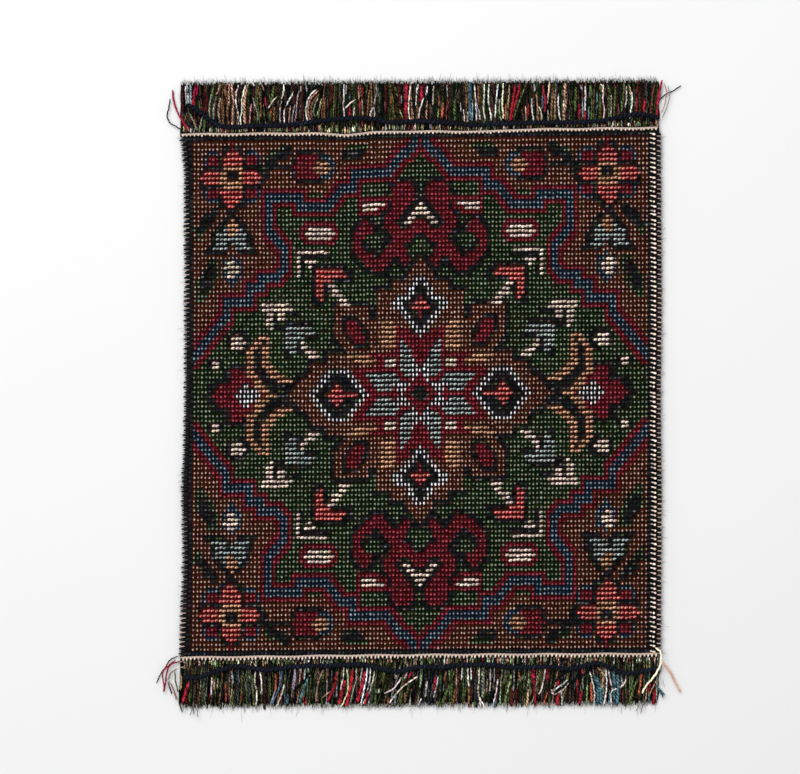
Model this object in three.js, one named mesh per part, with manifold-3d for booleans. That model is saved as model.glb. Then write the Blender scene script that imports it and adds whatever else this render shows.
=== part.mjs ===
// A miniature woven rug, lying flat with its face up and a yarn fringe at both ends.
//
// Units are millimetres and +Z is up. The rug rests on z = 0, with the origin under the
// middle of the whole rug. +Y points to the far fringe and +X to the right-hand selvedge.
//
// The cloth is one solid. Its face is ribbed by the weft, and each weft turn bulges a little
// at the two selvedges. At each end a thick cream pick lies over the warp ends, which run on
// as the fringe, and a navy pick has worked loose and lies across the fringe.

import * as THREE from 'three';
import Module from 'manifold-3d';
import { mergeVertices } from 'three/addons/utils/BufferGeometryUtils.js';

const wasm = await Module();
wasm.setup();

// Cloth
const CLOTH_THICKNESS = 2.0;
const RIB_DEPTH = 0.3;
const RIB_COUNT = 109;
const TURN_BULGE = 0.12;
const CLOTH_COLUMNS = 6;
const CLOTH_END_INSET = 0.95;

// The four edges are uneven, as a small loom leaves them. The side edges are where the weft
// turns, and the end edges are the lines that the cream picks follow.
const LEFT_EDGE = [
  { y: -54.0, x: -50.1 },
  { y: -46.7, x: -49.8 },
  { y: -34.2, x: -49.3 },
  { y: -19.6, x: -49.6 },
  { y: -7.1, x: -49.1 },
  { y: 6.7, x: -48.9 },
  { y: 46.7, x: -49.1 },
  { y: 54.5, x: -49.9 },
];
const RIGHT_EDGE = [
  { y: -54.0, x: 50.3 },
  { y: -20.0, x: 50.5 },
  { y: 0.0, x: 50.3 },
  { y: 20.0, x: 50.5 },
  { y: 55.8, x: 50.3 },
];
const FAR_END = [
  { x: -50.0, y: 54.4 },
  { x: -29.1, y: 54.6 },
  { x: -16.6, y: 54.6 },
  { x: -4.1, y: 55.0 },
  { x: 14.7, y: 55.0 },
  { x: 20.9, y: 55.4 },
  { x: 50.0, y: 55.8 },
];
const NEAR_END = [
  { x: -50.0, y: -54.6 },
  { x: -29.1, y: -54.4 },
  { x: -16.6, y: -54.2 },
  { x: 8.4, y: -54.0 },
  { x: 50.0, y: -53.8 },
];

// Cream picks
const CREAM_DIAMETER = 0.95;
const CREAM_SIDES = 8;
const CREAM_STEPS = 24;
const CREAM_END_SETBACK = 0.4;

// Fringe: a narrow strip of warp ends under the cream pick, and the strands that grow from it
const CONTACT_GAP = 0.3;
const STRIP_HEIGHT = 0.9;
const STRIP_IN = 0.5;
const STRIP_OUT = 1.3;
const STRIP_STEPS = 12;
const STRANDS_PER_END = 120;
const STRAND_WIDTH = 0.56;
const STRAND_TIP_WIDTH = 0.34;
const STRAND_TIP_HEIGHT = 0.5;
const STRAND_SEGMENTS = 3;
const STRAND_ROOT_DEPTH = 0.3;
const STRAND_MARGIN = 0.55;
const TIP_RAGGEDNESS = 0.6;
const FAR_TIPS = [
  { x: -50.0, y: 64.6 },
  { x: 50.0, y: 65.4 },
];
const NEAR_TIPS = [
  { x: -50.0, y: -64.6 },
  { x: 50.0, y: -64.0 },
];

// How far the strands lean sideways at their tips, as two slow waves along the fringe
const LEAN_WAVES = [
  { size: 0.55, length: 27, shift: 0.4 },
  { size: 0.18, length: 9, shift: 1.9 },
];

// Stray warp ends at the corners, flat on the table, each from its root in the strip
const STRAY_WIDTH = 0.42;
const STRAY_HEIGHT = 0.4;
const FAR_STRAYS = [
  [[-49.2, 55.2], [-50.3, 56.9], [-51.0, 59.2], [-51.4, 61.4], [-51.6, 63.2]],
  [[-49.4, 55.0], [-50.9, 55.7], [-52.2, 56.6], [-52.9, 58.0], [-52.9, 59.6], [-52.6, 61.2]],
  [[49.7, 56.4], [50.5, 57.8], [51.0, 60.4], [51.9, 62.5], [53.3, 63.9], [54.5, 64.8]],
];
const NEAR_STRAYS = [
  [[-49.5, -54.7], [-52.0, -55.3], [-53.7, -57.0], [-54.3, -59.0], [-54.6, -61.0]],
  [[-49.4, -55.1], [-51.6, -56.1], [-52.7, -58.0], [-53.2, -60.2], [-53.3, -61.9]],
  [[-49.3, -55.4], [-50.9, -56.7], [-51.7, -58.8], [-51.9, -60.9], [-51.7, -63.0]],
  [[49.6, -54.6], [50.9, -55.9], [52.0, -57.6], [53.1, -59.8], [54.2, -61.8]],
];

// Navy picks that lie loose across the fringe, from the right selvedge to a bare left end
const NAVY_DIAMETER = 0.95;
const NAVY_SIDES = 8;
const NAVY_STEPS = 44;
const NAVY_HEIGHT = STRIP_HEIGHT + CONTACT_GAP + NAVY_DIAMETER / 2;
const FAR_NAVY_ROUTE = [
  [49.9, 57.7], [47.7, 58.4], [44.8, 58.6], [41.0, 57.9], [37.3, 57.2], [33.6, 57.0],
  [29.9, 56.9], [22.4, 56.8], [16.9, 56.6], [11.3, 56.4], [5.7, 56.8], [0.1, 57.2],
  [-5.9, 56.9], [-9.5, 57.6], [-14.9, 57.8], [-20.3, 57.3], [-25.6, 56.6], [-31.0, 56.2],
  [-34.6, 56.2], [-38.9, 55.9], [-41.8, 56.3], [-43.6, 57.4], [-45.4, 58.9], [-47.2, 60.1],
  [-48.4, 60.5],
];
const NEAR_NAVY_ROUTE = [
  [49.6, -56.5], [46.6, -57.2], [42.9, -57.7], [40.3, -56.7], [37.3, -55.6], [35.4, -55.9],
  [31.7, -56.7], [29.9, -56.6], [26.1, -56.3], [22.4, -56.4], [18.7, -56.4], [15.0, -55.9],
  [9.4, -55.9], [3.8, -56.4], [0.1, -56.3], [-4.1, -57.2], [-7.7, -56.8], [-11.3, -55.9],
  [-14.9, -55.9], [-20.3, -56.1], [-25.6, -56.2], [-28.9, -56.6], [-31.8, -57.0],
  [-34.6, -56.6], [-38.2, -56.2], [-41.8, -57.1], [-45.4, -58.4], [-47.2, -58.6],
  [-49.0, -58.5],
];

// Reads one column of an edge table, rounding the corners between its rows.
function read(table, key, value, at) {
  const last = table.length - 1;
  if (at <= table[0][key]) return table[0][value];
  if (at >= table[last][key]) return table[last][value];
  const row = table.findIndex((entry) => entry[key] > at) - 1;
  const [low, high] = [table[row], table[row + 1]];
  const share = (at - low[key]) / (high[key] - low[key]);
  return THREE.MathUtils.lerp(low[value], high[value], share * share * (3 - 2 * share));
}

// A point of the cloth's outline plan: u runs from left to right and v from near to far.
function clothPlan(u, v) {
  const level = THREE.MathUtils.lerp(LEFT_EDGE[0].x, RIGHT_EDGE[0].x, u);
  const near = read(NEAR_END, 'x', 'y', level) + CLOTH_END_INSET;
  const far = read(FAR_END, 'x', 'y', level) - CLOTH_END_INSET;
  const y = THREE.MathUtils.lerp(near, far, v);
  const left = read(LEFT_EDGE, 'y', 'x', y);
  const right = read(RIGHT_EDGE, 'y', 'x', y);
  return new THREE.Vector2(THREE.MathUtils.lerp(left, right, u), y);
}

function solidGeometry(points, faces) {
  const geometry = new THREE.BufferGeometry();
  geometry.setAttribute(
    'position',
    new THREE.Float32BufferAttribute(points.flatMap((p) => [p.x, p.y, p.z]), 3),
  );
  geometry.setIndex(faces);
  geometry.computeVertexNormals();
  return geometry;
}

function signedVolume(points, faces) {
  let sum = 0;
  const cross = new THREE.Vector3();
  for (let f = 0; f < faces.length; f += 3) {
    cross.crossVectors(points[faces[f + 1]], points[faces[f + 2]]);
    sum += points[faces[f]].dot(cross) / 6;
  }
  return sum;
}

// A closed solid through rings of points, with flat ends.
function loft(rings) {
  const count = rings[0].length;
  const points = rings.flat();
  const faces = [];
  for (let ring = 0; ring + 1 < rings.length; ring += 1) {
    for (let k = 0; k < count; k += 1) {
      const a = ring * count + k;
      const b = ring * count + ((k + 1) % count);
      faces.push(a, b, b + count, a, b + count, a + count);
    }
  }
  const lastRing = points.length - count;
  for (let k = 1; k + 1 < count; k += 1) {
    faces.push(0, k + 1, k);
    faces.push(lastRing, lastRing + k, lastRing + k + 1);
  }
  if (signedVolume(points, faces) < 0) faces.reverse();
  return solidGeometry(points, faces);
}

function toManifold(geometry) {
  const bare = geometry.clone();
  bare.deleteAttribute('normal');
  const merged = mergeVertices(bare, 1e-5);
  return new wasm.Manifold(new wasm.Mesh({
    numProp: 3,
    vertProperties: new Float32Array(merged.attributes.position.array),
    triVerts: new Uint32Array(merged.index.array),
  }));
}

function fromManifold(solid) {
  const { vertProperties, triVerts } = solid.getMesh();
  const geometry = new THREE.BufferGeometry();
  geometry.setAttribute('position', new THREE.Float32BufferAttribute(vertProperties, 3));
  geometry.setIndex(Array.from(triVerts));
  geometry.computeVertexNormals();
  return geometry;
}

// The ribbed cloth: crest and groove lines run across it, from the near end to the far end.
function clothGeometry() {
  const lines = 2 * RIB_COUNT + 1;
  const across = CLOTH_COLUMNS + 1;
  const face = [];
  for (let line = 0; line < lines; line += 1) {
    const onCrest = line % 2 === 1;
    for (let column = 0; column < across; column += 1) {
      const plan = clothPlan(column / CLOTH_COLUMNS, line / (lines - 1));
      if (onCrest && column === 0) plan.x -= TURN_BULGE;
      if (onCrest && column === CLOTH_COLUMNS) plan.x += TURN_BULGE;
      const height = onCrest ? CLOTH_THICKNESS : CLOTH_THICKNESS - RIB_DEPTH;
      face.push(new THREE.Vector3(plan.x, plan.y, height));
    }
  }
  const under = face.length;
  const points = face.concat(face.map((p) => new THREE.Vector3(p.x, p.y, 0)));
  const faces = [];
  for (let line = 0; line + 1 < lines; line += 1) {
    for (let column = 0; column < CLOTH_COLUMNS; column += 1) {
      const a = line * across + column;
      const [b, c, d] = [a + 1, a + 1 + across, a + across];
      faces.push(a, b, c, a, c, d);
      faces.push(under + a, under + c, under + b, under + a, under + d, under + c);
    }
  }

  // The rim, counter-clockwise from above, joins the face to the flat underside.
  const rim = [];
  for (let column = 0; column < CLOTH_COLUMNS; column += 1) rim.push(column);
  for (let line = 0; line + 1 < lines; line += 1) rim.push(line * across + CLOTH_COLUMNS);
  for (let column = CLOTH_COLUMNS; column > 0; column -= 1) {
    rim.push((lines - 1) * across + column);
  }
  for (let line = lines - 1; line > 0; line -= 1) rim.push(line * across);
  rim.forEach((here, k) => {
    const next = rim[(k + 1) % rim.length];
    faces.push(here, under + here, under + next, here, under + next, next);
  });
  return solidGeometry(points, faces);
}

// The cream pick, a round yarn that follows the end line and rests on the fringe's strip.
function creamPickGeometry(endLine) {
  const radius = CREAM_DIAMETER / 2;
  const height = STRIP_HEIGHT + CONTACT_GAP + radius;
  const rings = [];
  for (let step = 0; step <= CREAM_STEPS; step += 1) {
    const reach = 50 - CREAM_END_SETBACK;
    const x = THREE.MathUtils.lerp(-reach, reach, step / CREAM_STEPS);
    const y = read(endLine, 'x', 'y', x);
    const ring = [];
    for (let side = 0; side < CREAM_SIDES; side += 1) {
      const turn = (2 * Math.PI * (side + 0.5)) / CREAM_SIDES;
      ring.push(new THREE.Vector3(
        x,
        y + radius * Math.cos(turn),
        height + radius * Math.sin(turn),
      ));
    }
    rings.push(ring);
  }
  return loft(rings);
}

// The strip of warp ends, from just inside the end line to where the strands part.
function stripGeometry(endLine, outward) {
  const rings = [];
  for (let step = 0; step <= STRIP_STEPS; step += 1) {
    const x = THREE.MathUtils.lerp(-50, 50, step / STRIP_STEPS);
    const y = read(endLine, 'x', 'y', x);
    const inner = y - outward * STRIP_IN;
    const outer = y + outward * STRIP_OUT;
    rings.push([
      new THREE.Vector3(x, inner, 0),
      new THREE.Vector3(x, outer, 0),
      new THREE.Vector3(x, outer, STRIP_HEIGHT),
      new THREE.Vector3(x, inner, STRIP_HEIGHT),
    ]);
  }
  return loft(rings);
}

// A three-sided strand with its flat side on the table, along a route of plan points.
function strandGeometry(route, width, height, tipWidth, tipHeight) {
  const last = route.length - 1;
  const rings = route.map((point, k) => {
    const before = route[Math.max(k - 1, 0)];
    const after = route[Math.min(k + 1, last)];
    const along = after.clone().sub(before).normalize();
    const side = new THREE.Vector2(-along.y, along.x);
    const share = k / last;
    side.multiplyScalar(THREE.MathUtils.lerp(width, tipWidth, share) / 2);
    return [
      new THREE.Vector3(point.x - side.x, point.y - side.y, 0),
      new THREE.Vector3(point.x + side.x, point.y + side.y, 0),
      new THREE.Vector3(point.x, point.y, THREE.MathUtils.lerp(height, tipHeight, share)),
    ];
  });
  return loft(rings);
}

// A repeatable number from 0 to 1 for each strand.
function scatter(index, salt) {
  const value = Math.sin(index * 12.9898 + salt * 78.233) * 43758.5453;
  return value - Math.floor(value);
}

function leanAt(x, salt) {
  return LEAN_WAVES.reduce(
    (sum, wave) => sum + wave.size * Math.sin((2 * Math.PI * x) / wave.length + wave.shift + salt),
    0,
  );
}

function strandRoute(index, endLine, tips, outward) {
  const reach = 50 - STRAND_MARGIN;
  const x = THREE.MathUtils.lerp(-reach, reach, index / (STRANDS_PER_END - 1));
  const root = read(endLine, 'x', 'y', x) + outward * (STRIP_OUT - STRAND_ROOT_DEPTH);
  const ragged = TIP_RAGGEDNESS * (scatter(index, outward) - 0.5);
  const tip = read(tips, 'x', 'y', x) + outward * ragged;
  const lean = leanAt(x, outward) * Math.min(1, (reach - Math.abs(x)) / 4);
  const route = [];
  for (let k = 0; k <= STRAND_SEGMENTS; k += 1) {
    const share = k / STRAND_SEGMENTS;
    route.push(new THREE.Vector2(
      x + lean * share * share,
      THREE.MathUtils.lerp(root, tip, share),
    ));
  }
  return route;
}

// One fringe: the strip with its strands and the stray ends at its corners, as one solid.
function fringeGeometry(endLine, tips, strays, outward) {
  let solid = toManifold(stripGeometry(endLine, outward));
  for (let index = 0; index < STRANDS_PER_END; index += 1) {
    const route = strandRoute(index, endLine, tips, outward);
    const strand = strandGeometry(
      route,
      STRAND_WIDTH,
      STRIP_HEIGHT * 0.97,
      STRAND_TIP_WIDTH,
      STRAND_TIP_HEIGHT,
    );
    solid = solid.add(toManifold(strand));
  }
  strays.forEach((points) => {
    const route = points.map(([x, y]) => new THREE.Vector2(x, y));
    const stray = strandGeometry(route, STRAY_WIDTH, STRAY_HEIGHT, STRAY_WIDTH, STRAY_HEIGHT);
    solid = solid.add(toManifold(stray));
  });
  return fromManifold(solid);
}

// A navy pick lying loose over the fringe: an eight-sided yarn swept along its route.
function navyPickGeometry(points) {
  const route = new THREE.CatmullRomCurve3(
    points.map(([x, y]) => new THREE.Vector3(x, y, NAVY_HEIGHT)),
    false,
    'centripetal',
  );
  const section = new THREE.Shape();
  for (let side = 0; side < NAVY_SIDES; side += 1) {
    const turn = (2 * Math.PI * (side + 0.5)) / NAVY_SIDES;
    const x = (NAVY_DIAMETER / 2) * Math.cos(turn);
    const y = (NAVY_DIAMETER / 2) * Math.sin(turn);
    if (side === 0) section.moveTo(x, y);
    else section.lineTo(x, y);
  }
  section.closePath();
  return new THREE.ExtrudeGeometry(section, {
    steps: NAVY_STEPS,
    bevelEnabled: false,
    extrudePath: route,
  });
}

function piece(name, geometry, color) {
  const material = new THREE.MeshStandardMaterial({ color, roughness: 0.95, metalness: 0 });
  const mesh = new THREE.Mesh(geometry, material);
  mesh.name = name;
  return mesh;
}

const CLOTH_COLOR = 0x4a3527;
const CREAM_COLOR = 0xe8d3b8;
const FRINGE_COLOR = 0x3c4630;
const NAVY_COLOR = 0x1c2233;

const rug = new THREE.Group();
rug.add(piece('cloth', clothGeometry(), CLOTH_COLOR));
rug.add(piece('cream_pick_far', creamPickGeometry(FAR_END), CREAM_COLOR));
rug.add(piece('cream_pick_near', creamPickGeometry(NEAR_END), CREAM_COLOR));
rug.add(piece('fringe_far', fringeGeometry(FAR_END, FAR_TIPS, FAR_STRAYS, 1), FRINGE_COLOR));
rug.add(piece('fringe_near', fringeGeometry(NEAR_END, NEAR_TIPS, NEAR_STRAYS, -1), FRINGE_COLOR));
rug.add(piece('navy_pick_far', navyPickGeometry(FAR_NAVY_ROUTE), NAVY_COLOR));
rug.add(piece('navy_pick_near', navyPickGeometry(NEAR_NAVY_ROUTE), NAVY_COLOR));

export default rug;
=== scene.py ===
"""A miniature woven rug, looked at from straight above on a white table.

Everything is placed in the rug's own frame, in millimetres, and turned into metres as it is
built. The pattern is worked out stitch by stitch on a chart of 119 columns and 107 rows, which
is drawn for its left quarters by the motif functions below and then mirrored.
"""

import math

import bpy
import numpy as np
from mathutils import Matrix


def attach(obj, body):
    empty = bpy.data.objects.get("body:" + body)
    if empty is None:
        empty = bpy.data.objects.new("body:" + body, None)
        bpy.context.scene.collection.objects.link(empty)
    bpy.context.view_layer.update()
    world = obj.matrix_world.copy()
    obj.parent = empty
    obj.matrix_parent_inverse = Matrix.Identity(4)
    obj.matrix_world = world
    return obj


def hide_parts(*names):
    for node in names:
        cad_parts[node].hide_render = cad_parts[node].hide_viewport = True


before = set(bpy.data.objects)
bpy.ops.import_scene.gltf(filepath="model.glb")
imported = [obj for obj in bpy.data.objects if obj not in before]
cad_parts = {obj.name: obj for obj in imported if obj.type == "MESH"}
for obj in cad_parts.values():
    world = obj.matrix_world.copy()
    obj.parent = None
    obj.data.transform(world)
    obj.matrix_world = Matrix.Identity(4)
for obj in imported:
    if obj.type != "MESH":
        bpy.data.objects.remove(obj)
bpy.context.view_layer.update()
bpy.ops.object.select_all(action="DESELECT")

MM = 0.001
rng = np.random.default_rng(11)

# The camera: straight above, with a long lens. The view's units are those that the tables of
# fringe yarns count in.
VIEW_CENTRE = (-4.06, 1.875)
VIEW_WIDTH = 166.7
VIEW_UNITS = (800, 774)
LENS = 200
SENSOR = 36

# The chart's size, and the lines through its outer stitches
COLUMNS = 119
ROWS = 107
FIRST_STITCH = -46.8
STITCH_SPREAD = 94.2
LEFT_COLUMN = ([-52.9, -21.7, 22.1, 53.3], [-47.1, -46.85, -46.73, -46.8])
RIGHT_COLUMN = ([-52.9, -21.7, 22.1, 53.3], [47.2, 47.3, 47.4, 47.5])
FAR_ROW = (
    [-46.8, -25.7, -15.5, -8.0, 1.2, 41.8, 47.4],
    [52.4, 52.7, 52.6, 53.0, 53.2, 53.6, 53.7],
)
NEAR_ROW = ([-46.8, 1.2, 47.4], [-52.7, -52.3, -52.0])

# How far the stitches drift from even spacing, to the right and away from the near end
COLUMN_DRIFT = (
    [0, 0.04, 0.16, 0.3, 0.42, 0.52, 0.64, 0.75, 0.87, 1],
    [0, -0.06, 0, 0.1, 0.04, -0.1, -0.24, -0.48, -0.48, -0.15],
)
ROW_DRIFT = (
    [0, 0.04, 0.13, 0.22, 0.32, 0.41, 0.5, 0.6, 0.7, 0.8, 0.9, 1],
    [-0.1, -0.25, -0.14, 0.05, 0.08, 0.14, 0, -0.1, 0.16, 0.26, 0.12, 0],
)

# How far the cream picks and the fringes reach to either side of the middle
HALF_FRINGE = 49.6

# The cloth's edges, and the lines that the cream picks follow
LEFT_EDGE = (
    [-54.0, -46.7, -34.2, -19.6, -7.1, 6.7, 46.7, 54.5],
    [-50.1, -49.8, -49.3, -49.6, -49.1, -48.9, -49.1, -49.9],
)
RIGHT_EDGE = ([-54.0, -20.0, 0.0, 20.0, 55.8], [50.3, 50.5, 50.3, 50.5, 50.3])
FAR_END = (
    [-50.0, -29.1, -22.0, -15.5, -9.5, -4.1, 14.7, 20.9, 50.0],
    [54.4, 54.6, 54.6, 54.3, 54.8, 55.0, 55.0, 55.4, 55.8],
)
NEAR_END = ([-50.0, -29.1, -16.6, 8.4, 50.0], [-54.6, -54.4, -54.2, -54.0, -53.8])

# The navy picks that lie loose across the fringe, from the right selvedge to a bare left end
NAVY_DIAMETER = 0.95
NAVY_HEIGHT = 1.675
FAR_NAVY_ROUTE = [
    (49.9, 57.7), (47.7, 58.4), (44.8, 58.6), (41.0, 57.9), (37.3, 57.2), (33.6, 57.0),
    (29.9, 56.9), (22.4, 56.8), (16.9, 56.6), (11.3, 56.4), (5.7, 56.8), (0.1, 57.2),
    (-5.9, 56.9), (-9.5, 57.6), (-14.9, 57.8), (-20.3, 57.3), (-25.6, 56.6), (-31.0, 56.2),
    (-34.6, 56.2), (-38.9, 55.9), (-41.8, 56.3), (-43.6, 57.4), (-45.4, 58.9), (-47.2, 60.1),
    (-48.4, 60.5),
]
NEAR_NAVY_ROUTE = [
    (49.6, -56.5), (46.6, -57.2), (42.9, -57.7), (40.3, -56.7), (37.3, -55.6), (35.4, -55.9),
    (31.7, -56.7), (29.9, -56.6), (26.1, -56.3), (22.4, -56.4), (18.7, -56.4), (15.0, -55.9),
    (9.4, -55.9), (3.8, -56.4), (0.1, -56.3), (-4.1, -57.2), (-7.7, -56.8), (-11.3, -55.9),
    (-14.9, -55.9), (-20.3, -56.1), (-25.6, -56.2), (-28.9, -56.6), (-31.8, -57.0),
    (-34.6, -56.6), (-38.2, -56.2), (-41.8, -57.1), (-45.4, -58.4), (-47.2, -58.6),
    (-49.0, -58.5),
]

# The yarns, as linear colours
INK = {
    "tan": (0.34, 0.222, 0.187),
    "green": (0.155, 0.185, 0.13),
    "red": (0.235, 0.037, 0.054),
    "blue": (0.155, 0.195, 0.225),
    "white": (0.58, 0.57, 0.59),
    "navy": (0.008, 0.0085, 0.010),
    "cream": (0.70, 0.58, 0.50),
    "coral": (0.57, 0.21, 0.19),
    "pale": (0.36, 0.40, 0.39),
    "amber": (0.55, 0.33, 0.225),
}
TAN, GREEN, RED, BLUE, WHITE, NAVY, CREAM, CORAL, PALE, AMBER = range(len(INK))

# The floated yarns: how full the floats are, their shade, and the shade of their thin plies
FLOATS = {CREAM: (1.2, 0.94, 0.9), CORAL: (1, 1, 0.75), PALE: (1, 1, 0.9), AMBER: (1, 1, 0.9)}

# The deep beads under the floated yarns' bright plies: darker copies of their inks, partly the
# yarn's own deeper colour and partly painted shade
DEEP_COLOUR_AND_SHADE_INK = {
    CREAM: (0.33, 0.25, 0.20),
    CORAL: (0.34, 0.009, 0.014),
    PALE: (0.06, 0.075, 0.075),
    AMBER: (0.23, 0.10, 0.042),
}

# What shows between the stitches of each yarn
GROUND_INK = [
    (0.034, 0.0075, 0.0025), (0.003, 0.0105, 0.002), (0.052, 0.0024, 0.0042),
    (0.002, 0.010, 0.021), (0.011, 0.010, 0.011), (0.004, 0.005, 0.006),
    (0.02, 0.012, 0.009), (0.06, 0.005, 0.004), (0.006, 0.007, 0.008), (0.03, 0.011, 0.005),
]

# The warp yarns under them, which show through here and there
UNDER_INK = [
    (0.016, 0.027, 0.007), (0.055, 0.004, 0.007), (0.004, 0.004, 0.005), (0.045, 0.018, 0.008),
    (0.004, 0.004, 0.005), (0.012, 0.018, 0.024),
]


# Chart


def spans_mask(chart, top, spans):
    """The cells of one span of columns on each row from top down, such as "8-12 7-13 10"."""
    mask = np.zeros(chart.shape, bool)
    for row, span in enumerate(spans.split(), top):
        first, _, last = span.partition("-")
        mask[row, int(first):int(last or first) + 1] = True
    return mask


def rows(chart, yarn, top, spans):
    chart[spans_mask(chart, top, spans)] = yarn


def grown(mask):
    """The mask and the ring of cells that touch it."""
    wide = np.pad(mask, 1)
    out = np.zeros_like(mask)
    for down in range(3):
        for right in range(3):
            out |= wide[down:down + mask.shape[0], right:right + mask.shape[1]]
    return out


def outline(chart, mask, yarn, over):
    """Lays yarn round the mask, on cells of the kinds in over."""
    chart[grown(mask) & ~mask & np.isin(chart, over)] = yarn


def stepped_line(chart):
    """The blue line, two cells wide and edged with crimson, and the tan corner outside it."""
    path = [
        (57, 0), (52, 4), (50, 6), (41, 6), (41, 9), (38, 9), (34, 13), (27, 13), (27, 11),
        (19, 11), (19, 18), (23, 22), (23, 26), (21, 28), (17, 28), (17, 30), (14, 30),
        (14, 33), (8, 33), (8, 36), (0, 44), (-1, 45),
    ]
    line = np.zeros(chart.shape, bool)
    for (x0, y0), (x1, y1) in zip(path, path[1:]):
        count = max(abs(x1 - x0), abs(y1 - y0))
        for step in range(count + 1):
            x = round(x0 + (x1 - x0) * step / count)
            y = round(y0 + (y1 - y0) * step / count)
            line[y:y + 2, max(x, 0):max(x + 2, 0)] = True
    for row in range(chart.shape[0]):
        cells = np.flatnonzero(line[row])
        if len(cells):
            chart[row, :cells[0]] = TAN
    chart[grown(line)] = RED
    chart[line] = BLUE


def corner_flower(chart):
    rows(chart, NAVY, 1, "8-12 8-12 7-13 7-13 3-19 2-18 2-19 2-18 2-17 7-13 7-13 7-13 7-13 9-11 "
         "9-10")
    for block in ("4-6 ", "14-16 "):
        for top in (3, 10):
            rows(chart, RED, top, 2 * block)
        for top in (2, 12):
            rows(chart, BLUE, top, block)
    for top in (3, 10):
        rows(chart, BLUE, top, "3 3")
        rows(chart, BLUE, top, "17 17")
    rows(chart, RED, 0, "10 10")
    rows(chart, CORAL, 2, "9-11 8-12 8-12")
    rows(chart, CORAL, 10, "7-12 8-12 8-11 9-10")
    rows(chart, CORAL, 6, "3-16 2-17 3-16")
    rows(chart, AMBER, 5, "8-12 7-12 7-12 7-12 8-12")
    rows(chart, NAVY, 6, "9-11 9-11")


def bell_flower(chart):
    rows(chart, NAVY, 16, "8-12 7-13 6-14 5-14 5-15 5-15 4-15 3-16")
    rows(chart, PALE, 18, "8-12 6-13 6-13 6-8 5-8")
    rows(chart, AMBER, 16, "10 9-11 9-11 9-10")
    rows(chart, PALE, 21, "10-13 11-14")
    rows(chart, TAN, 22, "10 9-11")
    rows(chart, BLUE, 24, "10 8-12 8-12 8-12 8-12 9-11 10")
    rows(chart, CREAM, 25, "9-10 8-11 9-11 9-10")


def leaves(chart):
    """Three slanting dark leaves, with green stitches beside two of them."""
    rows(chart, NAVY, 14, "5-6 3-6 2-5 2-4 1-3")
    rows(chart, GREEN, 18, "0 1-2 1")
    rows(chart, GREEN, 25, "4-6 4-6 3-6 2-6 1-5 1-5 1-4 1-3 1-2")
    rows(chart, NAVY, 26, "4-5 3-5 2-5 2-4 2-4 2-3")
    rows(chart, GREEN, 1, "23 20-21 19")
    rows(chart, NAVY, 1, "24-25 22-25 20-24 19-21 18-25 17-19")


def rose_bud(chart):
    rows(chart, NAVY, 2, "27-33 26-34 26-35 25-35 26-35 26-34 27-33")
    rows(chart, BLUE, 3, "33-35 35-36 36 35-36 33-35")
    rows(chart, RED, 3, "27-32 27-31 26-30 27-31 27-32")
    rows(chart, AMBER, 4, "32-34 31-35 32-34")


def cartouche(chart, top, spans):
    """Cream rows with a crimson rim."""
    mask = spans_mask(chart, top, spans)
    outline(chart, mask, RED, [GREEN])
    chart[mask] = CREAM


def palmette(chart):
    """The crimson palmette at the top, with its hooked scroll and its cream chevron."""
    body = spans_mask(chart, 9, "53-56 52-57 52-57 51-57 52-56 52-55 51-54 50-53 50-52 50-53 "
                      "51-59 52-57 52-56 51-54 50-55 49-55 54-56 55-56")
    body |= spans_mask(chart, 17, "58-59 57-59")
    body |= spans_mask(chart, 17, "44-45 43-46 42-46 42-44 42-43 42-43 42-44 43-46 44-51 45-50 "
                       "47-49")
    outline(chart, body, NAVY, [GREEN])
    chart[body] = RED
    rows(chart, NAVY, 18, "47-49 47-50 50-51 49-51 49-50")
    rows(chart, GREEN, 20, "45-49 45-48 46-48")
    rows(chart, NAVY, 8, "53-56")
    rows(chart, NAVY, 12, "58-59 57-58 57 56 55-59 54-57 54-56")
    rows(chart, NAVY, 20, "58-59 57 56")
    rows(chart, GREEN, 21, "58-59 57-59 56-59 57-58")
    rows(chart, CREAM, 13, "59 58-59 57-59 56-57 55-56")


def brackets(chart):
    """Two brackets on the diagonal, each with an arrowhead and a slanting stem inside it."""
    rows(chart, NAVY, 24, "28-35 28-29 28 28 28")
    rows(chart, CREAM, 23, "27-34 27 27 27 27 27")
    rows(chart, CREAM, 25, "29-31 30")
    rows(chart, NAVY, 26, "31-39 39-41 40-41 36-41")
    rows(chart, NAVY, 27, "31 " * 6 + "31-34 31-33")
    rows(chart, NAVY, 30, "34 34-35 34")
    rows(chart, CORAL, 27, "32-38 32-39 32-35 32-33 32-33 32-33 33")
    rows(chart, NAVY, 36, "21-27 21 21-30 21-23")
    rows(chart, NAVY, 41, "27-32 27 27 24-28 24-25")
    rows(chart, CREAM, 34, "18-24 18-25 19-20 19-20 19-20 20")
    rows(chart, CREAM, 36, "22-23 22-23")
    rows(chart, PALE, 39, "24-30 24-31 24-28 24-26 24-26 25-26")
    rows(chart, CREAM, 30, "35-36 36-37 36-38 38-39 38-40")
    rows(chart, CREAM, 42, "28 28-29 29-31 30-32")


def horn_leaf(chart):
    rows(chart, NAVY, 42, "18 17 16-17 16-17 16-17 16-17 16-18 17-19 18-21 19-26 20-25 22-24")
    rows(chart, AMBER, 41, "17-19 16-17 15-16 14-15 14-15 14-15 14-15 14-15 14-16 15-17 16-18 "
         "17-19 19-21")
    rows(chart, AMBER, 42, "19 18-19 18-19 18-19 18-19 18-20 19-21 20-23 22-25")


def blossoms(chart):
    rows(chart, NAVY, 40, "10-13 9-14 9-14 9-14 12-13")
    rows(chart, CREAM, 41, "10-12 10-13 10-12")
    rows(chart, NAVY, 46, "4-7 4-7")
    rows(chart, CREAM, 46, "5-6 5-6")


def side_palmette(chart):
    rows(chart, NAVY, 47, "9-13 8-13 8-13 5-14 4-8 4-6 3-5")
    rows(chart, RED, 48, "10-12 10-13 10-15 7-15 6-16 5-18")
    rows(chart, WHITE, 51, "13-14 12-16 11-17")


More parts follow.
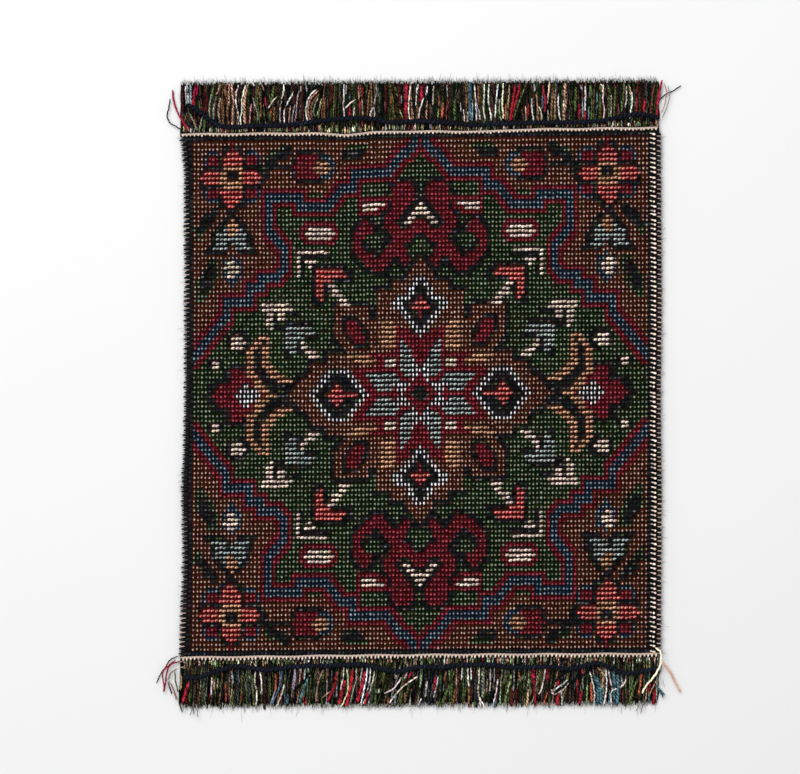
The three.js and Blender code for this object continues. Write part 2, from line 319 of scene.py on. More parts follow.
def medallion(chart, lift):
    """The tan medallion with its navy edge, from the lobe at the top round to the side."""
    mask = spans_mask(chart, 26 - lift, "59 58-59 57-59 56-59 56-59 52-59 52-59 "
                      + "48-59 " * (11 + lift))
    mask |= spans_mask(chart, 44, "40-59 35-59 35-59 31-59 31-59 30-59 28-59 27-59 26-59 25-59")
    mask |= spans_mask(chart, 36 - lift, "37-45 " * (6 + lift) + "38-45 39-45")
    mask |= spans_mask(chart, 38, "44-47 " * 6)
    outline(chart, mask, NAVY, [GREEN, RED])
    chart[mask] = TAN
    rows(chart, GREEN, 33 - lift, "46-47 46-47 46-47")


def leaf_lobe(chart):
    rows(chart, NAVY, 37, "39-42 39-43 39-44 39-45 40-45 41-45 42-45")
    rows(chart, RED, 38, "40-42 40-43 40-43 41-44 42-44")


def star(chart):
    """The eight-petalled star in the middle, on crimson."""
    rows(chart, RED, 44, "53-59 46-59 53-59 53-59 42-59 42-59 44-59 44-59 45-59 46-59")
    rows(chart, RED, 39, "53 53-56 53-58 53-59 53-59")
    rows(chart, AMBER, 38, "49-51 49-52 49-52 49-52 49-52 49-52")
    rows(chart, AMBER, 45, "40-45 42-47")
    rows(chart, RED, 46, "48-49 48-49")
    rows(chart, CREAM, 46, "50-52 50-52")
    rows(chart, PALE, 42, "54 54-55 54-56 54-56 54-56 54-56 54-56 55-56")
    rows(chart, PALE, 49, "45-52 46-53 47-51 48-51")
    rows(chart, WHITE, 46, "57 57-58 57-59 57-58 57 52-56 53-55 54")
    rows(chart, NAVY, 52, "58-59 57-59")


def top_diamond(chart, lift):
    rows(chart, NAVY, 31 - lift, "57-59 " * 3 + "55-59 " * 5 + "57-59 " * 3)
    rows(chart, WHITE, 30 - lift, "58-59 57-58 56-57 56-57 53-56 52-54 52-54 54-55 55-56 56-57 "
         "57-58 58-59 59")
    rows(chart, RED, 34 - lift, "59 " * 5)
    rows(chart, CORAL, 35 - lift, "58-59 57-59")


def side_diamond(chart):
    rows(chart, NAVY, 49, "35-39 34-40 33-41 32-42 31-43")
    rows(chart, WHITE, 48, "35-40 34-35 33-34 32-33 31-32 30-31")
    rows(chart, WHITE, 49, "40-41 41-42 42-43 43-44 44-45")
    rows(chart, CORAL, 51, "37 36-38 35-42")


def quarter_chart(lift):
    """The left side of one half. lift says how many rows further out its top lobe is woven."""
    quarter = np.full((ROWS // 2 + 1, COLUMNS // 2 + 1), GREEN)
    stepped_line(quarter)
    corner_flower(quarter)
    bell_flower(quarter)
    leaves(quarter)
    rose_bud(quarter)
    rows(quarter, GREEN, 1, "40-45")
    rows(quarter, NAVY, 2, "39-44 39-43")
    cartouche(quarter, 18, "30-35 29-36 30-35")
    cartouche(quarter, 13, "44-49 44-47")
    palmette(quarter)
    brackets(quarter)
    horn_leaf(quarter)
    blossoms(quarter)
    side_palmette(quarter)
    medallion(quarter, lift)
    leaf_lobe(quarter)
    star(quarter)
    top_diamond(quarter, lift)
    side_diamond(quarter)
    return quarter


def woven_chart():
    left = np.vstack([quarter_chart(1), quarter_chart(0)[-2::-1]])
    return np.hstack([left, left[:, -2::-1]])


def line_at(table, at):
    return np.interp(at, *table)


def stitch_place(column, row):
    """The middle of a stitch on the cloth, in millimetres."""
    across = column / (COLUMNS - 1)
    down = row / (ROWS - 1)
    x = FIRST_STITCH + STITCH_SPREAD * across
    y = line_at(FAR_ROW, x) * (1 - down) + line_at(NEAR_ROW, x) * down
    x = line_at(LEFT_COLUMN, y) * (1 - across) + line_at(RIGHT_COLUMN, y) * across
    return x + line_at(COLUMN_DRIFT, across), y + line_at(ROW_DRIFT, down)


# Shaders


class Wire:
    """A value in a shader. Sums, differences and products of wires make Math nodes."""

    def __init__(self, tree, socket):
        self.tree = tree
        self.socket = socket

    def math(self, operation, other):
        node = self.tree.nodes.new("ShaderNodeMath")
        node.operation = operation
        for place, value in enumerate((self, other)):
            if isinstance(value, Wire):
                self.tree.links.new(value.socket, node.inputs[place])
            else:
                node.inputs[place].default_value = value
        return Wire(self.tree, node.outputs[0])

    def __add__(self, other):
        return self.math("ADD", other)

    def __sub__(self, other):
        return self.math("SUBTRACT", other)

    def __mul__(self, other):
        return self.math("MULTIPLY", other)

    def sine(self):
        return self.math("SINE", 0.0)


class Shader:
    """A material's node tree, with its Principled BSDF."""

    def __init__(self, name):
        self.material = bpy.data.materials.new(name)
        self.material.use_nodes = True
        self.tree = self.material.node_tree
        self.surface = self.tree.nodes["Principled BSDF"]

    def node(self, kind, output, settings=(), **inputs):
        """Adds a node, sets it up, wires its inputs and returns one of its outputs."""
        node = self.tree.nodes.new(kind)
        for name, value in dict(settings).items():
            setattr(node, name, value)
        for name, value in inputs.items():
            socket = node.inputs[name]
            if isinstance(value, Wire):
                self.tree.links.new(value.socket, socket)
            else:
                socket.default_value = value
        return Wire(self.tree, node.outputs[output])

    def feed(self, name, wire):
        self.tree.links.new(wire.socket, self.surface.inputs[name])


def yarn_material(name, ink=None, fine=5400, coarse=300, spread=0.35, plied=False):
    """Matt spun yarn. Without an ink it takes its colour from the piece's dye attribute.

    fine and coarse are the scales of its two kinds of mottle, and spread is their strength.
    On a plied yarn the ply attribute counts the plies that a point is past, and the twist
    attribute says how dark the painted shade in the furrow between two plies is.
    """
    shader = Shader(name)
    place = shader.node("ShaderNodeTexCoord", "Object")
    fibres = shader.node("ShaderNodeTexNoise", "Fac", Vector=place, Scale=fine, Detail=2.0)
    patches = shader.node("ShaderNodeTexNoise", "Fac", Vector=place, Scale=coarse, Detail=1.0)
    tint = shader.node("ShaderNodeAttribute", "Fac", {"attribute_name": "tint"})
    mottle = (fibres * spread + patches * spread + (1 - spread)).math("MAXIMUM", 0.1)
    shade = tint * mottle
    relief = fibres
    if plied:
        ply = shader.node("ShaderNodeAttribute", "Fac", {"attribute_name": "ply"})
        twist = shader.node("ShaderNodeAttribute", "Fac", {"attribute_name": "twist"})
        # Painted shade: the colour darkens along the helical furrows between the plies
        furrow = (ply * math.tau).sine() * twist
        shade = shade * (furrow * 0.5 - twist * 0.5 + 1.15)
        relief = fibres + furrow
    if ink is None:
        colour = shader.node("ShaderNodeAttribute", "Color", {"attribute_name": "dye"})
    else:
        colour = shader.node("ShaderNodeCombineXYZ", "Vector", X=ink[0], Y=ink[1], Z=ink[2])
    dyed = shader.node("ShaderNodeVectorMath", "Vector", {"operation": "SCALE"}, Vector=colour,
                       Scale=shade)
    shader.feed("Base Color", dyed)
    bump = shader.node("ShaderNodeBump", "Normal", Strength=0.5, Distance=0.00005, Height=relief)
    shader.feed("Normal", bump)
    shader.surface.inputs["Roughness"].default_value = 0.95
    shader.surface.inputs["Specular IOR Level"].default_value = 0.03
    return shader.material


# Pieces


UV_SPAN = 140


def mark(mesh, label, values):
    """Gives each point of the mesh a number, or a colour where the values are triples."""
    if np.ndim(values) == 1:
        mesh.attributes.new(label, "FLOAT", "POINT").data.foreach_set("value", values)
    else:
        wide = np.hstack([values, np.ones((len(values), 1))])
        mesh.attributes.new(label, "FLOAT_COLOR", "POINT").data.foreach_set("color", wide.ravel())


def joined(name, points, faces, tint, material, dye=None, ply=None, twist=None, replaced=(),
           planar=True):
    """One piece from arrays of points in millimetres and faces.

    A planar piece has a UV map of its own, seen from above, in a square UV_SPAN wide.
    """
    mesh = bpy.data.meshes.new(name)
    mesh.from_pydata((points * MM).tolist(), [], faces)
    for label, values in (("tint", tint), ("ply", ply), ("twist", twist), ("dye", dye)):
        if values is not None:
            mark(mesh, label, values)
    if planar:
        corners = np.zeros(len(mesh.loops), int)
        mesh.loops.foreach_get("vertex_index", corners)
        flat = (points[corners, :2] + UV_SPAN / 2) / UV_SPAN
        mesh.uv_layers.new(name="OFBake").data.foreach_set("uv", flat.ravel())
    mesh.polygons.foreach_set("use_smooth", np.ones(len(mesh.polygons), bool))
    mesh.materials.append(material)
    piece = bpy.data.objects.new(name, mesh)
    bpy.context.collection.objects.link(piece)
    if replaced:
        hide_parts(*replaced)
    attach(piece, "root")
    return piece


def bead_form(sides, levels):
    """A closed bead with a flat base, one unit across and one unit high."""
    points = []
    for level in range(levels):
        rise = math.radians(90 * level / levels)
        for side in range(sides):
            turn = math.tau * side / sides
            points.append((
                0.5 * math.cos(rise) * math.cos(turn),
                0.5 * math.cos(rise) * math.sin(turn),
                math.sin(rise),
            ))
    points.append((0, 0, 1))
    faces = [list(range(sides))[::-1]]
    for level in range(levels - 1):
        for side in range(sides):
            here = level * sides + side
            beside = level * sides + (side + 1) % sides
            faces.append([here, beside, beside + sides, here + sides])
    last = (levels - 1) * sides
    for side in range(sides):
        faces.append([last + side, last + (side + 1) % sides, last + sides])
    return np.array(points), faces


def beads(form, x, y, z, length, width, height, turn=0.0):
    """Copies of a bead with its base at each (x, y, z), turned in the plane."""
    shape, faces = form
    count = len(x)
    size = np.stack(np.broadcast_arrays(length, width, height), -1) * np.ones((count, 1))
    local = shape[None] * size[:, None]
    cos = np.cos(turn) * np.ones(count)
    sin = np.sin(turn) * np.ones(count)
    across = local[..., 0] * cos[:, None] - local[..., 1] * sin[:, None]
    along = local[..., 0] * sin[:, None] + local[..., 1] * cos[:, None]
    points = np.stack([
        across + x[:, None],
        along + y[:, None],
        local[..., 2] + (z * np.ones(count))[:, None],
    ], -1).reshape(-1, 3)
    step = len(shape)
    copied = [[k + step * n for k in face] for n in range(count) for face in faces]
    return points, copied


def together(*parts):
    """Joins several (points, faces) pairs into one."""
    points = []
    faces = []
    start = 0
    for some_points, some_faces in parts:
        points.append(some_points)
        faces += [[k + start for k in face] for face in some_faces]
        start += len(some_points)
    return np.vstack(points), faces


def run_along(route):
    """The distance from the route's start to each of its points."""
    return np.concatenate([[0], np.cumsum(np.linalg.norm(np.diff(route, axis=0), axis=1))])


CURVE_STEPS = 16


def smooth_route(points, step):
    """Evenly spaced points on a smooth curve through the given ones."""
    given = np.array(points, float)
    ends = np.vstack([2 * given[0] - given[1], given, 2 * given[-1] - given[-2]])
    fine = []
    for k in range(1, len(ends) - 2):
        a, b, c, d = ends[k - 1:k + 3]
        for t in np.linspace(0, 1, CURVE_STEPS, endpoint=False):
            fine.append(0.5 * (
                2 * b + (c - a) * t + (2 * a - 5 * b + 4 * c - d) * t ** 2
                + (3 * b - a - 3 * c + d) * t ** 3
            ))
    fine.append(given[-1])
    fine = np.array(fine)
    run = run_along(fine)
    count = max(2, round(run[-1] / step) + 1)
    at = np.linspace(0, run[-1], count)
    return np.stack([np.interp(at, run, fine[:, k]) for k in range(given.shape[1])], -1)


def spun(route, width, lay, sides, lobes, taper=0.7):
    """A closed two-ply yarn along a route.

    lay is the length of one full turn of its plies, lobes how deep the furrow between them is,
    and taper how wide its two ends are.
    """
    along = np.gradient(route, axis=0)
    along /= np.linalg.norm(along, axis=1)[:, None]
    side = np.cross(along, (0, 0, 1))
    side /= np.linalg.norm(side, axis=1)[:, None]
    up = np.cross(side, along)
    turn = np.arange(sides) * math.tau / sides - math.pi / 2
    twist = math.tau * run_along(route) / lay
    radius = width / 2 * (1 - lobes / 2 + lobes * np.cos(2 * (turn[None] - twist[:, None])))
    radius[0] *= taper
    radius[-1] *= taper
    points = (
        route[:, None]
        + side[:, None] * (radius * np.cos(turn))[..., None]
        + up[:, None] * (radius * np.sin(turn))[..., None]
    ).reshape(-1, 3)
    faces = [list(range(sides))]
    for ring in range(len(route) - 1):
        for k in range(sides):
            here = ring * sides + k
            beside = ring * sides + (k + 1) % sides
            faces.append([here, here + sides, beside + sides, beside])
    faces.append([len(points) - 1 - k for k in range(sides)])
    return points, faces


def plies(route, lay, sides):
    """How many plies each point of a spun yarn is past, round it and along it."""
    return (2 * np.arange(sides)[None] / sides - 2 * run_along(route)[:, None] / lay).ravel()


def tints(count, each, low=0.75, high=1.15):
    """One random tint for each small thing, given to all of its points."""
    return np.repeat(rng.uniform(low, high, count), each)


# Camera

bpy.ops.object.camera_add(location=(VIEW_CENTRE[0] * MM, VIEW_CENTRE[1] * MM,
                                    VIEW_WIDTH * LENS / SENSOR * MM))
camera = bpy.context.object
camera.name = "overhead_camera"
camera.data.lens = LENS
camera.data.sensor_width = SENSOR
camera.data.dof.use_dof = False
bpy.context.scene.camera = camera

# Navy picks, the two free cords

navy_yarn = yarn_material("navy_yarn", (0.007, 0.0078, 0.0135), spread=0.9, plied=True)
NAVY_LAY = 1.9
NAVY_SIDES = 12
NAVY_FULLNESS = 1.04
# How dark the painted shade in the furrows between the navy plies is
NAVY_FURROW_PAINTED_SHADE = 0.75
for end, route in (("far", FAR_NAVY_ROUTE), ("near", NEAR_NAVY_ROUTE)):
    path = smooth_route([(x, y, NAVY_HEIGHT) for x, y in route], 0.25)
    points, faces = spun(path, NAVY_DIAMETER * NAVY_FULLNESS, NAVY_LAY, NAVY_SIDES, lobes=0.1)
    pick = joined(f"navy_yarn_{end}", points, faces, tints(1, len(points)), navy_yarn,
                  ply=plies(path, NAVY_LAY, NAVY_SIDES), twist=np.full(len(points), NAVY_FURROW_PAINTED_SHADE),
                  replaced=[f"navy_pick_{end}"], planar=False)

# Cloth ground: a closed slab with two lines of points to every row and column

chart = woven_chart()
GROUND_HEIGHT = 1.72
GROOVE_DEPTH = 0.28
SIDE_DIP = 0.1
RIM_DROP = 0.5
EDGE_COLUMNS = 4
EDGE_ROWS = 3
LEFT_INSET = 0.45
RIGHT_INSET = 0.4
END_INSET = 0.05


def ground_lines(count, extra):
    """Half-stitch positions from before the first stitch to after the last."""
    return np.arange(-extra, count * 2 - 1 + extra) / 2


column_at = ground_lines(COLUMNS, EDGE_COLUMNS)
row_at = ground_lines(ROWS, EDGE_ROWS)
grid_x, grid_y = stitch_place(*np.meshgrid(column_at, row_at))
bpy.ops.mesh.primitive_grid_add(x_subdivisions=len(column_at) - 1,
                                y_subdivisions=len(row_at) - 1, size=1)
ground = bpy.context.object
ground.name = "cloth_ground"
bpy.ops.object.mode_set(mode="EDIT")
bpy.ops.mesh.select_all(action="SELECT")
bpy.ops.mesh.extrude_region_move(TRANSFORM_OT_translate={"value": (0, 0, 1)})
bpy.ops.object.mode_set(mode="OBJECT")
mesh = ground.data
plain = np.zeros(len(mesh.vertices) * 3)
mesh.vertices.foreach_get("co", plain)
plain = plain.reshape(-1, 3)
col_index = np.rint((plain[:, 0] + 0.5) * (len(column_at) - 1)).astype(int)
row_index = np.rint((0.5 - plain[:, 1]) * (len(row_at) - 1)).astype(int)
on_top = plain[:, 2] > 0.5
x = grid_x[row_index, col_index]
y = grid_y[row_index, col_index]
first = col_index == 0
last = col_index == len(column_at) - 1
x = np.where(first, line_at(LEFT_EDGE, y) + LEFT_INSET, x)
x = np.where(last, line_at(RIGHT_EDGE, y) - RIGHT_INSET, x)
y = np.where(row_index == 0, line_at(FAR_END, x) - END_INSET, y)
y = np.where(row_index == len(row_at) - 1, line_at(NEAR_END, x) + END_INSET, y)
in_groove = row_at[row_index] % 1 != 0
between = column_at[col_index] % 1 != 0
height = GROUND_HEIGHT - GROOVE_DEPTH * in_groove - SIDE_DIP * between
rim = first | last | (row_index == 0) | (row_index == len(row_at) - 1)
height = np.where(rim, GROUND_HEIGHT - RIM_DROP, height)
mesh.vertices.foreach_set("co", (np.stack([x, y, height * on_top], -1) * MM).ravel())

# The ground's colour is that of the stitch beside each point. It is darker in the grooves and
# between the columns: partly the dark weft that shows there, partly painted shade in these
# recesses. A point half way between two stitches goes with the second of them.
BORDER = 4
NUDGE = 0.01
padded_chart = np.pad(chart, BORDER, constant_values=NAVY)
near_column = np.rint(column_at[col_index] + NUDGE).astype(int) + BORDER
near_row = np.rint(row_at[row_index] + NUDGE).astype(int) + BORDER
dye = np.array(GROUND_INK)[padded_chart[near_row, near_column]]
under = np.array(UNDER_INK)[rng.integers(len(UNDER_INK), size=len(x))]
dye = dye + (under - dye) * rng.uniform(0.0, 0.3, len(x))[:, None]
# Painted shade: the grooves and the gaps between columns are darkened in the colour
tint = np.where(in_groove, 0.72, 1.05) * np.where(between, 0.45, 1.05)
tint = tint * rng.uniform(0.45, 1.65, len(x))
mark(mesh, "tint", tint)
mark(mesh, "dye", dye)
bpy.ops.object.mode_set(mode="EDIT")
bpy.ops.mesh.select_all(action="DESELECT")
bpy.ops.object.mode_set(mode="OBJECT")
for face in mesh.polygons:
    face.select = all(not on_top[k] for k in face.vertices)
bpy.ops.object.mode_set(mode="EDIT")
bpy.ops.mesh.dissolve_faces()
bpy.ops.mesh.select_all(action="SELECT")
bpy.ops.mesh.normals_make_consistent(inside=False)
bpy.ops.object.mode_set(mode="OBJECT")
mesh.materials.append(yarn_material("cloth_ground_yarn", fine=4200, spread=0.6))
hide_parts("cloth")
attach(ground, "root")

# Stitches, one piece for each yarn

DOT = bead_form(6, 2)
DOT_POINTS = len(DOT[0])


def float_stitches(x, y, size, fullness):
    """Floats: a deep bead, the bright tooth on it, and a thin ply that runs to the next one."""
    return together(
        beads(DOT, x, y - 0.06, z=1.48, length=0.98, width=0.6, height=0.42),
        beads(DOT, x - 0.08, y - 0.02, z=1.6, length=0.44 * size * fullness, width=0.56,
              height=0.58, turn=-0.35),
        beads(DOT, x + 0.2, y + 0.12 * fullness, z=1.6, length=0.66 * fullness,
              width=0.22 * fullness, height=0.52, turn=-0.2),
    )


def uneven(ink, count):
    """The ink once for each stitch, with its hue a little off each time."""
    return np.array(ink) * rng.normal(1, 0.05, (count, 3))


# What the navy outlines are stitched with: mostly near-black, with a lighter fibre now and then
NAVY_MIX = [INK["navy"]] * 6 + [
    (0.022, 0.024, 0.034), (0.022, 0.032, 0.014), (0.045, 0.026, 0.018), (0.05, 0.05, 0.05),
]
# How far the stitches sit towards the near side of their row
STITCH_SINK = 0.07
row_grid, column_grid = np.mgrid[0:ROWS, 0:COLUMNS]
for yarn, name in enumerate(INK):
    here = chart == yarn
    x, y = stitch_place(column_grid[here], row_grid[here])
    y -= STITCH_SINK
    count = len(x)
    x = x + rng.normal(0, 0.045, count)
    y = y + rng.normal(0, 0.05, count)
    size = rng.normal(1, 0.12, count)
    material = yarn_material(f"{name}_yarn")
    dye = uneven(INK[name], count)
    if yarn in FLOATS:
        fullness, shade, ply_shade = FLOATS[yarn]
        points, faces = float_stitches(x, y, size, fullness)
        # The deep bead is painted in the darker ink: partly painted shade
        dye = np.vstack([uneven(DEEP_COLOUR_AND_SHADE_INK[yarn], count), dye, dye])
        tint = np.tile(tints(count, DOT_POINTS, 0.6, 1.35), 3)
        tint[2 * count * DOT_POINTS:] *= ply_shade
        tint *= shade
    elif yarn == NAVY:
        points, faces = beads(DOT, x, y, z=1.5, length=0.78 * size, width=0.5, height=0.42,
                              turn=0.15)
        dye = np.array(NAVY_MIX)[rng.integers(len(NAVY_MIX), size=count)]
        tint = tints(count, DOT_POINTS, 0.2, 2.6)
    elif yarn == WHITE:
        points, faces = beads(DOT, x, y, z=1.55, length=0.46 * size, width=0.78, height=0.62)
        tint = tints(count, DOT_POINTS, 0.7, 1.25)
    else:
        length = {TAN: 0.42, RED: 0.54}.get(yarn, 0.48)
        points, faces = beads(DOT, x, y, z=1.55, length=length * size, width=0.52 * size,
                              height=0.5, turn=0.1)
        tint = tints(count, DOT_POINTS, 0.65, 1.3)
    joined(f"stitches_{name}", points, faces, tint, material,
           dye=np.repeat(dye, DOT_POINTS, axis=0))

# End ribs: one navy rib beyond the first and the last row

RIB_MIX = [
    (0.010, 0.014, 0.024), (0.018, 0.026, 0.034), (0.005, 0.005, 0.008), (0.014, 0.020, 0.012),
]
rib_columns = np.arange(-2, COLUMNS + 2)
x_far, y_far = stitch_place(rib_columns, -1)
x_near, y_near = stitch_place(rib_columns, ROWS)
x = np.concatenate([x_far, x_near])
y = np.concatenate([y_far, y_near])
points, faces = beads(DOT, x, y, z=1.5, length=0.7, width=0.5, height=0.42, turn=0.35)
dye = np.array(RIB_MIX)[rng.integers(len(RIB_MIX), size=len(x))]
joined("end_ribs", points, faces, tints(len(x), DOT_POINTS, 0.4, 1.8),
       yarn_material("end_rib_yarn"), dye=np.repeat(dye, DOT_POINTS, axis=0))

# Cream picks: a thin yarn with a tooth at every warp column, longer teeth at the near end

cream_pick_yarn = yarn_material("cream_pick_yarn", (0.62, 0.49, 0.41))
PICK_HEIGHT = 1.675
PICK_WIDTH = 0.48
PICK_LAY = 1.6


def pick_wave(x):
    """The slow sideways wave of a cream pick."""
    return 0.07 * np.sin(x / 1.9)


for end, line, tooth, core_shift, teeth_shift in (
    ("far", FAR_END, 0.62, 0.0, -0.24),
    ("near", NEAR_END, 0.98, 0.2, -0.14),
):
    x = np.arange(-HALF_FRINGE, HALF_FRINGE + 0.1, 0.4)
    y = line_at(line, x) + core_shift + pick_wave(x)
    route = np.stack([x, y, np.full(len(x), PICK_HEIGHT)], -1)
    core = spun(route, PICK_WIDTH, PICK_LAY, sides=8, lobes=0.25)
    x = np.arange(-49.2, 49.5, 0.8)
    x = x + rng.normal(0, 0.05, len(x))
    y = line_at(line, x) + pick_wave(x) + rng.normal(0, 0.06, len(x)) + teeth_shift
    teeth = beads(DOT, x, y, z=1.35, length=0.5, width=tooth, height=0.74, turn=-0.12)
    points, faces = together(core, teeth)
    tint = np.concatenate([
        np.full(len(core[0]), 0.54),
        tints(len(x), DOT_POINTS, 0.7, 1.1),
    ])
    joined(f"cream_yarn_{end}", points, faces, tint, cream_pick_yarn,
           replaced=[f"cream_pick_{end}"])

# Selvedges: the weft turns at each end of every row, like a comb, and the threads between them

BALL = bead_form(8, 3)
BALL_POINTS = len(BALL[0])
side_rows = np.arange(-1, ROWS + 1)
sides_count = len(side_rows)
left_y = stitch_place(0, side_rows)[1] + rng.normal(0, 0.06, sides_count)
left_x = line_at(LEFT_EDGE, left_y)
right_y = stitch_place(COLUMNS - 1, side_rows)[1] + rng.normal(0, 0.06, sides_count)
right_x = line_at(RIGHT_EDGE, right_y)

# The left turns end on one line inside the cloth and reach out from it unevenly
INNER_END = 1.3
reach = rng.uniform(1.3, 1.65, sides_count)
left = beads(BALL, left_x + INNER_END - reach / 2, left_y, z=0.1, length=reach, width=0.48,
             height=1.6, turn=0.12)
right = beads(BALL, right_x - 0.5, right_y, z=0.1, length=1.05, width=0.74, height=1.55,
              turn=-0.08)
points, faces = together(left, right)
joined("selvedge_turns", points, faces, tints(2 * sides_count, BALL_POINTS, 0.4, 1.8),
       yarn_material("selvedge_yarn", (0.012, 0.011, 0.013)))

inner_x = np.concatenate([left_x + 1.75, right_x - 2.75])
inner_y = np.concatenate([left_y, right_y])
points, faces = beads(DOT, inner_x, inner_y, z=1.48, length=0.95, width=0.62, height=0.42,
                      turn=0.15)
joined("selvedge_ribs", points, faces, tints(len(inner_x), DOT_POINTS, 0.4, 2.0),
       yarn_material("selvedge_rib_yarn", (0.009, 0.009, 0.012)))


def within(y, *stretches):
    """Whether each y lies in one of the stretches."""
    return np.any([(y > low) & (y < high) for low, high in stretches], axis=0)


PALE_TURN = (0.44, 0.315, 0.25)
GREY_TURN = (0.14, 0.10, 0.10)
BROWN_TURN = (0.30, 0.225, 0.17)
DARK_TURN = (0.03, 0.026, 0.026)

# Where the threads are paler, as stretches along each selvedge
left_pale = within(left_y, (18.5, 28.2), (33.5, 38.5), (-52.0, -44.0))
left_grey = within(left_y, (28.2, 33.5), (38.5, 54.5), (10.0, 18.5), (-44.0, -24.0))
left_dye = np.where(left_grey[:, None], GREY_TURN, DARK_TURN)
left_dye = np.where(left_pale[:, None], PALE_TURN, left_dye)
right_pale = within(right_y, (10.6, 21.0), (-24.3, -21.8), (-36.3, -24.8), (-51.0, -40.5))
right_pale &= rng.random(sides_count) < 0.8
right_dye = np.where(right_pale[:, None], PALE_TURN, BROWN_TURN)
threads = together(
    beads(DOT, left_x + 0.68, left_y - 0.5, z=1.1, length=1.46, width=0.26, height=0.5,
          turn=0.12),
    beads(DOT, right_x - 0.52, right_y - 0.5, z=1.2, length=1.2, width=0.34, height=0.52,
          turn=-0.1),
)
dye = np.repeat(np.vstack([left_dye, right_dye]), DOT_POINTS, axis=0)
joined("selvedge_threads", *threads, tints(2 * sides_count, DOT_POINTS), dye=dye,
       material=yarn_material("selvedge_thread_yarn"))

sway = rng.normal(0, 0.12, sides_count)
long = rng.uniform(0.5, 0.9, sides_count)
floats = together(
    beads(DOT, right_x - 2.0 + sway, right_y + 0.04, z=1.5, length=1.05 + sway, width=0.34,
          height=0.5, turn=-0.2),
    beads(DOT, right_x - 1.5 + sway / 2, right_y - 0.1, z=1.55, length=long, width=0.58,
          height=0.62, turn=-0.15),
)
tint = np.concatenate([tints(sides_count, DOT_POINTS, 0.45, 1.2),
                       tints(sides_count, DOT_POINTS, 0.8, 1.4)])
joined("selvedge_floats", *floats, tint, yarn_material("selvedge_float_yarn", (0.66, 0.54, 0.46)))

# Fringes

# The warp yarns' colours, each under the letter that the lists and tables below use
WARP_INK = {
    "k": (0.004, 0.004, 0.005),  # near black
    "e": (0.024, 0.030, 0.040),  # slate
    "d": (0.011, 0.019, 0.007),  # dark green
    "g": (0.062, 0.088, 0.026),  # moss
    "s": (0.19, 0.23, 0.13),  # sage
    "n": (0.050, 0.024, 0.017),  # brown
    "b": (0.17, 0.075, 0.034),  # rust
    "t": (0.36, 0.21, 0.145),  # tan
    "m": (0.080, 0.008, 0.011),  # maroon
    "r": (0.25, 0.011, 0.023),  # red
    "c": (0.22, 0.011, 0.029),  # crimson
    "o": (0.27, 0.065, 0.032),  # brick
    "w": (0.50, 0.47, 0.44),  # white
    "v": (0.25, 0.24, 0.24),  # grey
    "y": (0.52, 0.49, 0.33),  # straw
    "u": (0.055, 0.115, 0.15),  # blue
    "p": (0.21, 0.25, 0.26),  # pale blue
    "l": (0.66, 0.54, 0.48),  # cream
    "a": (0.43, 0.225, 0.175),  # copper
}
# How dark the painted shade in the furrow between the plies is, for each of the yarns
WARP_FURROW_PAINTED_SHADE = dict.fromkeys(WARP_INK, 0.9) | {
    "w": 0.5, "y": 0.5, "v": 0.8, "r": 0.6, "c": 0.6, "k": 0.5, "p": 0.6, "o": 0.7, "u": 0.8,
    "l": 0.3, "a": 0.3,
}
WARP_LAY = 1.5

# How often each colour comes: in the warp ends, their stubs, their fibres and their cut tips
FAR_MIX = "kkkkkkkddddddnnnnmmegggb"
NEAR_MIX = "kkkkddddddnnnmeegggggssbtv"
UNDER_MIX = "kkkdn"
STUB_MIX = "ddgggssttmnnbkkkwv"
FAR_FIBRE_MIX = "kkkkggssnnbtdvem"
NEAR_FIBRE_MIX = "kkkkgggssnbtdvepp"
# The cut tips' fibres are mostly dark: partly real fuzz, partly a painted shadow beyond the tips
FAR_TIP_AND_SHADOW_MIX = "kkkeennvdgs"
NEAR_TIP_AND_SHADOW_MIX = "vspggeedkt"
PICK_FUZZ_MIX = "kkededu"
SELVEDGE_FUZZ_MIX = "kkkedv"

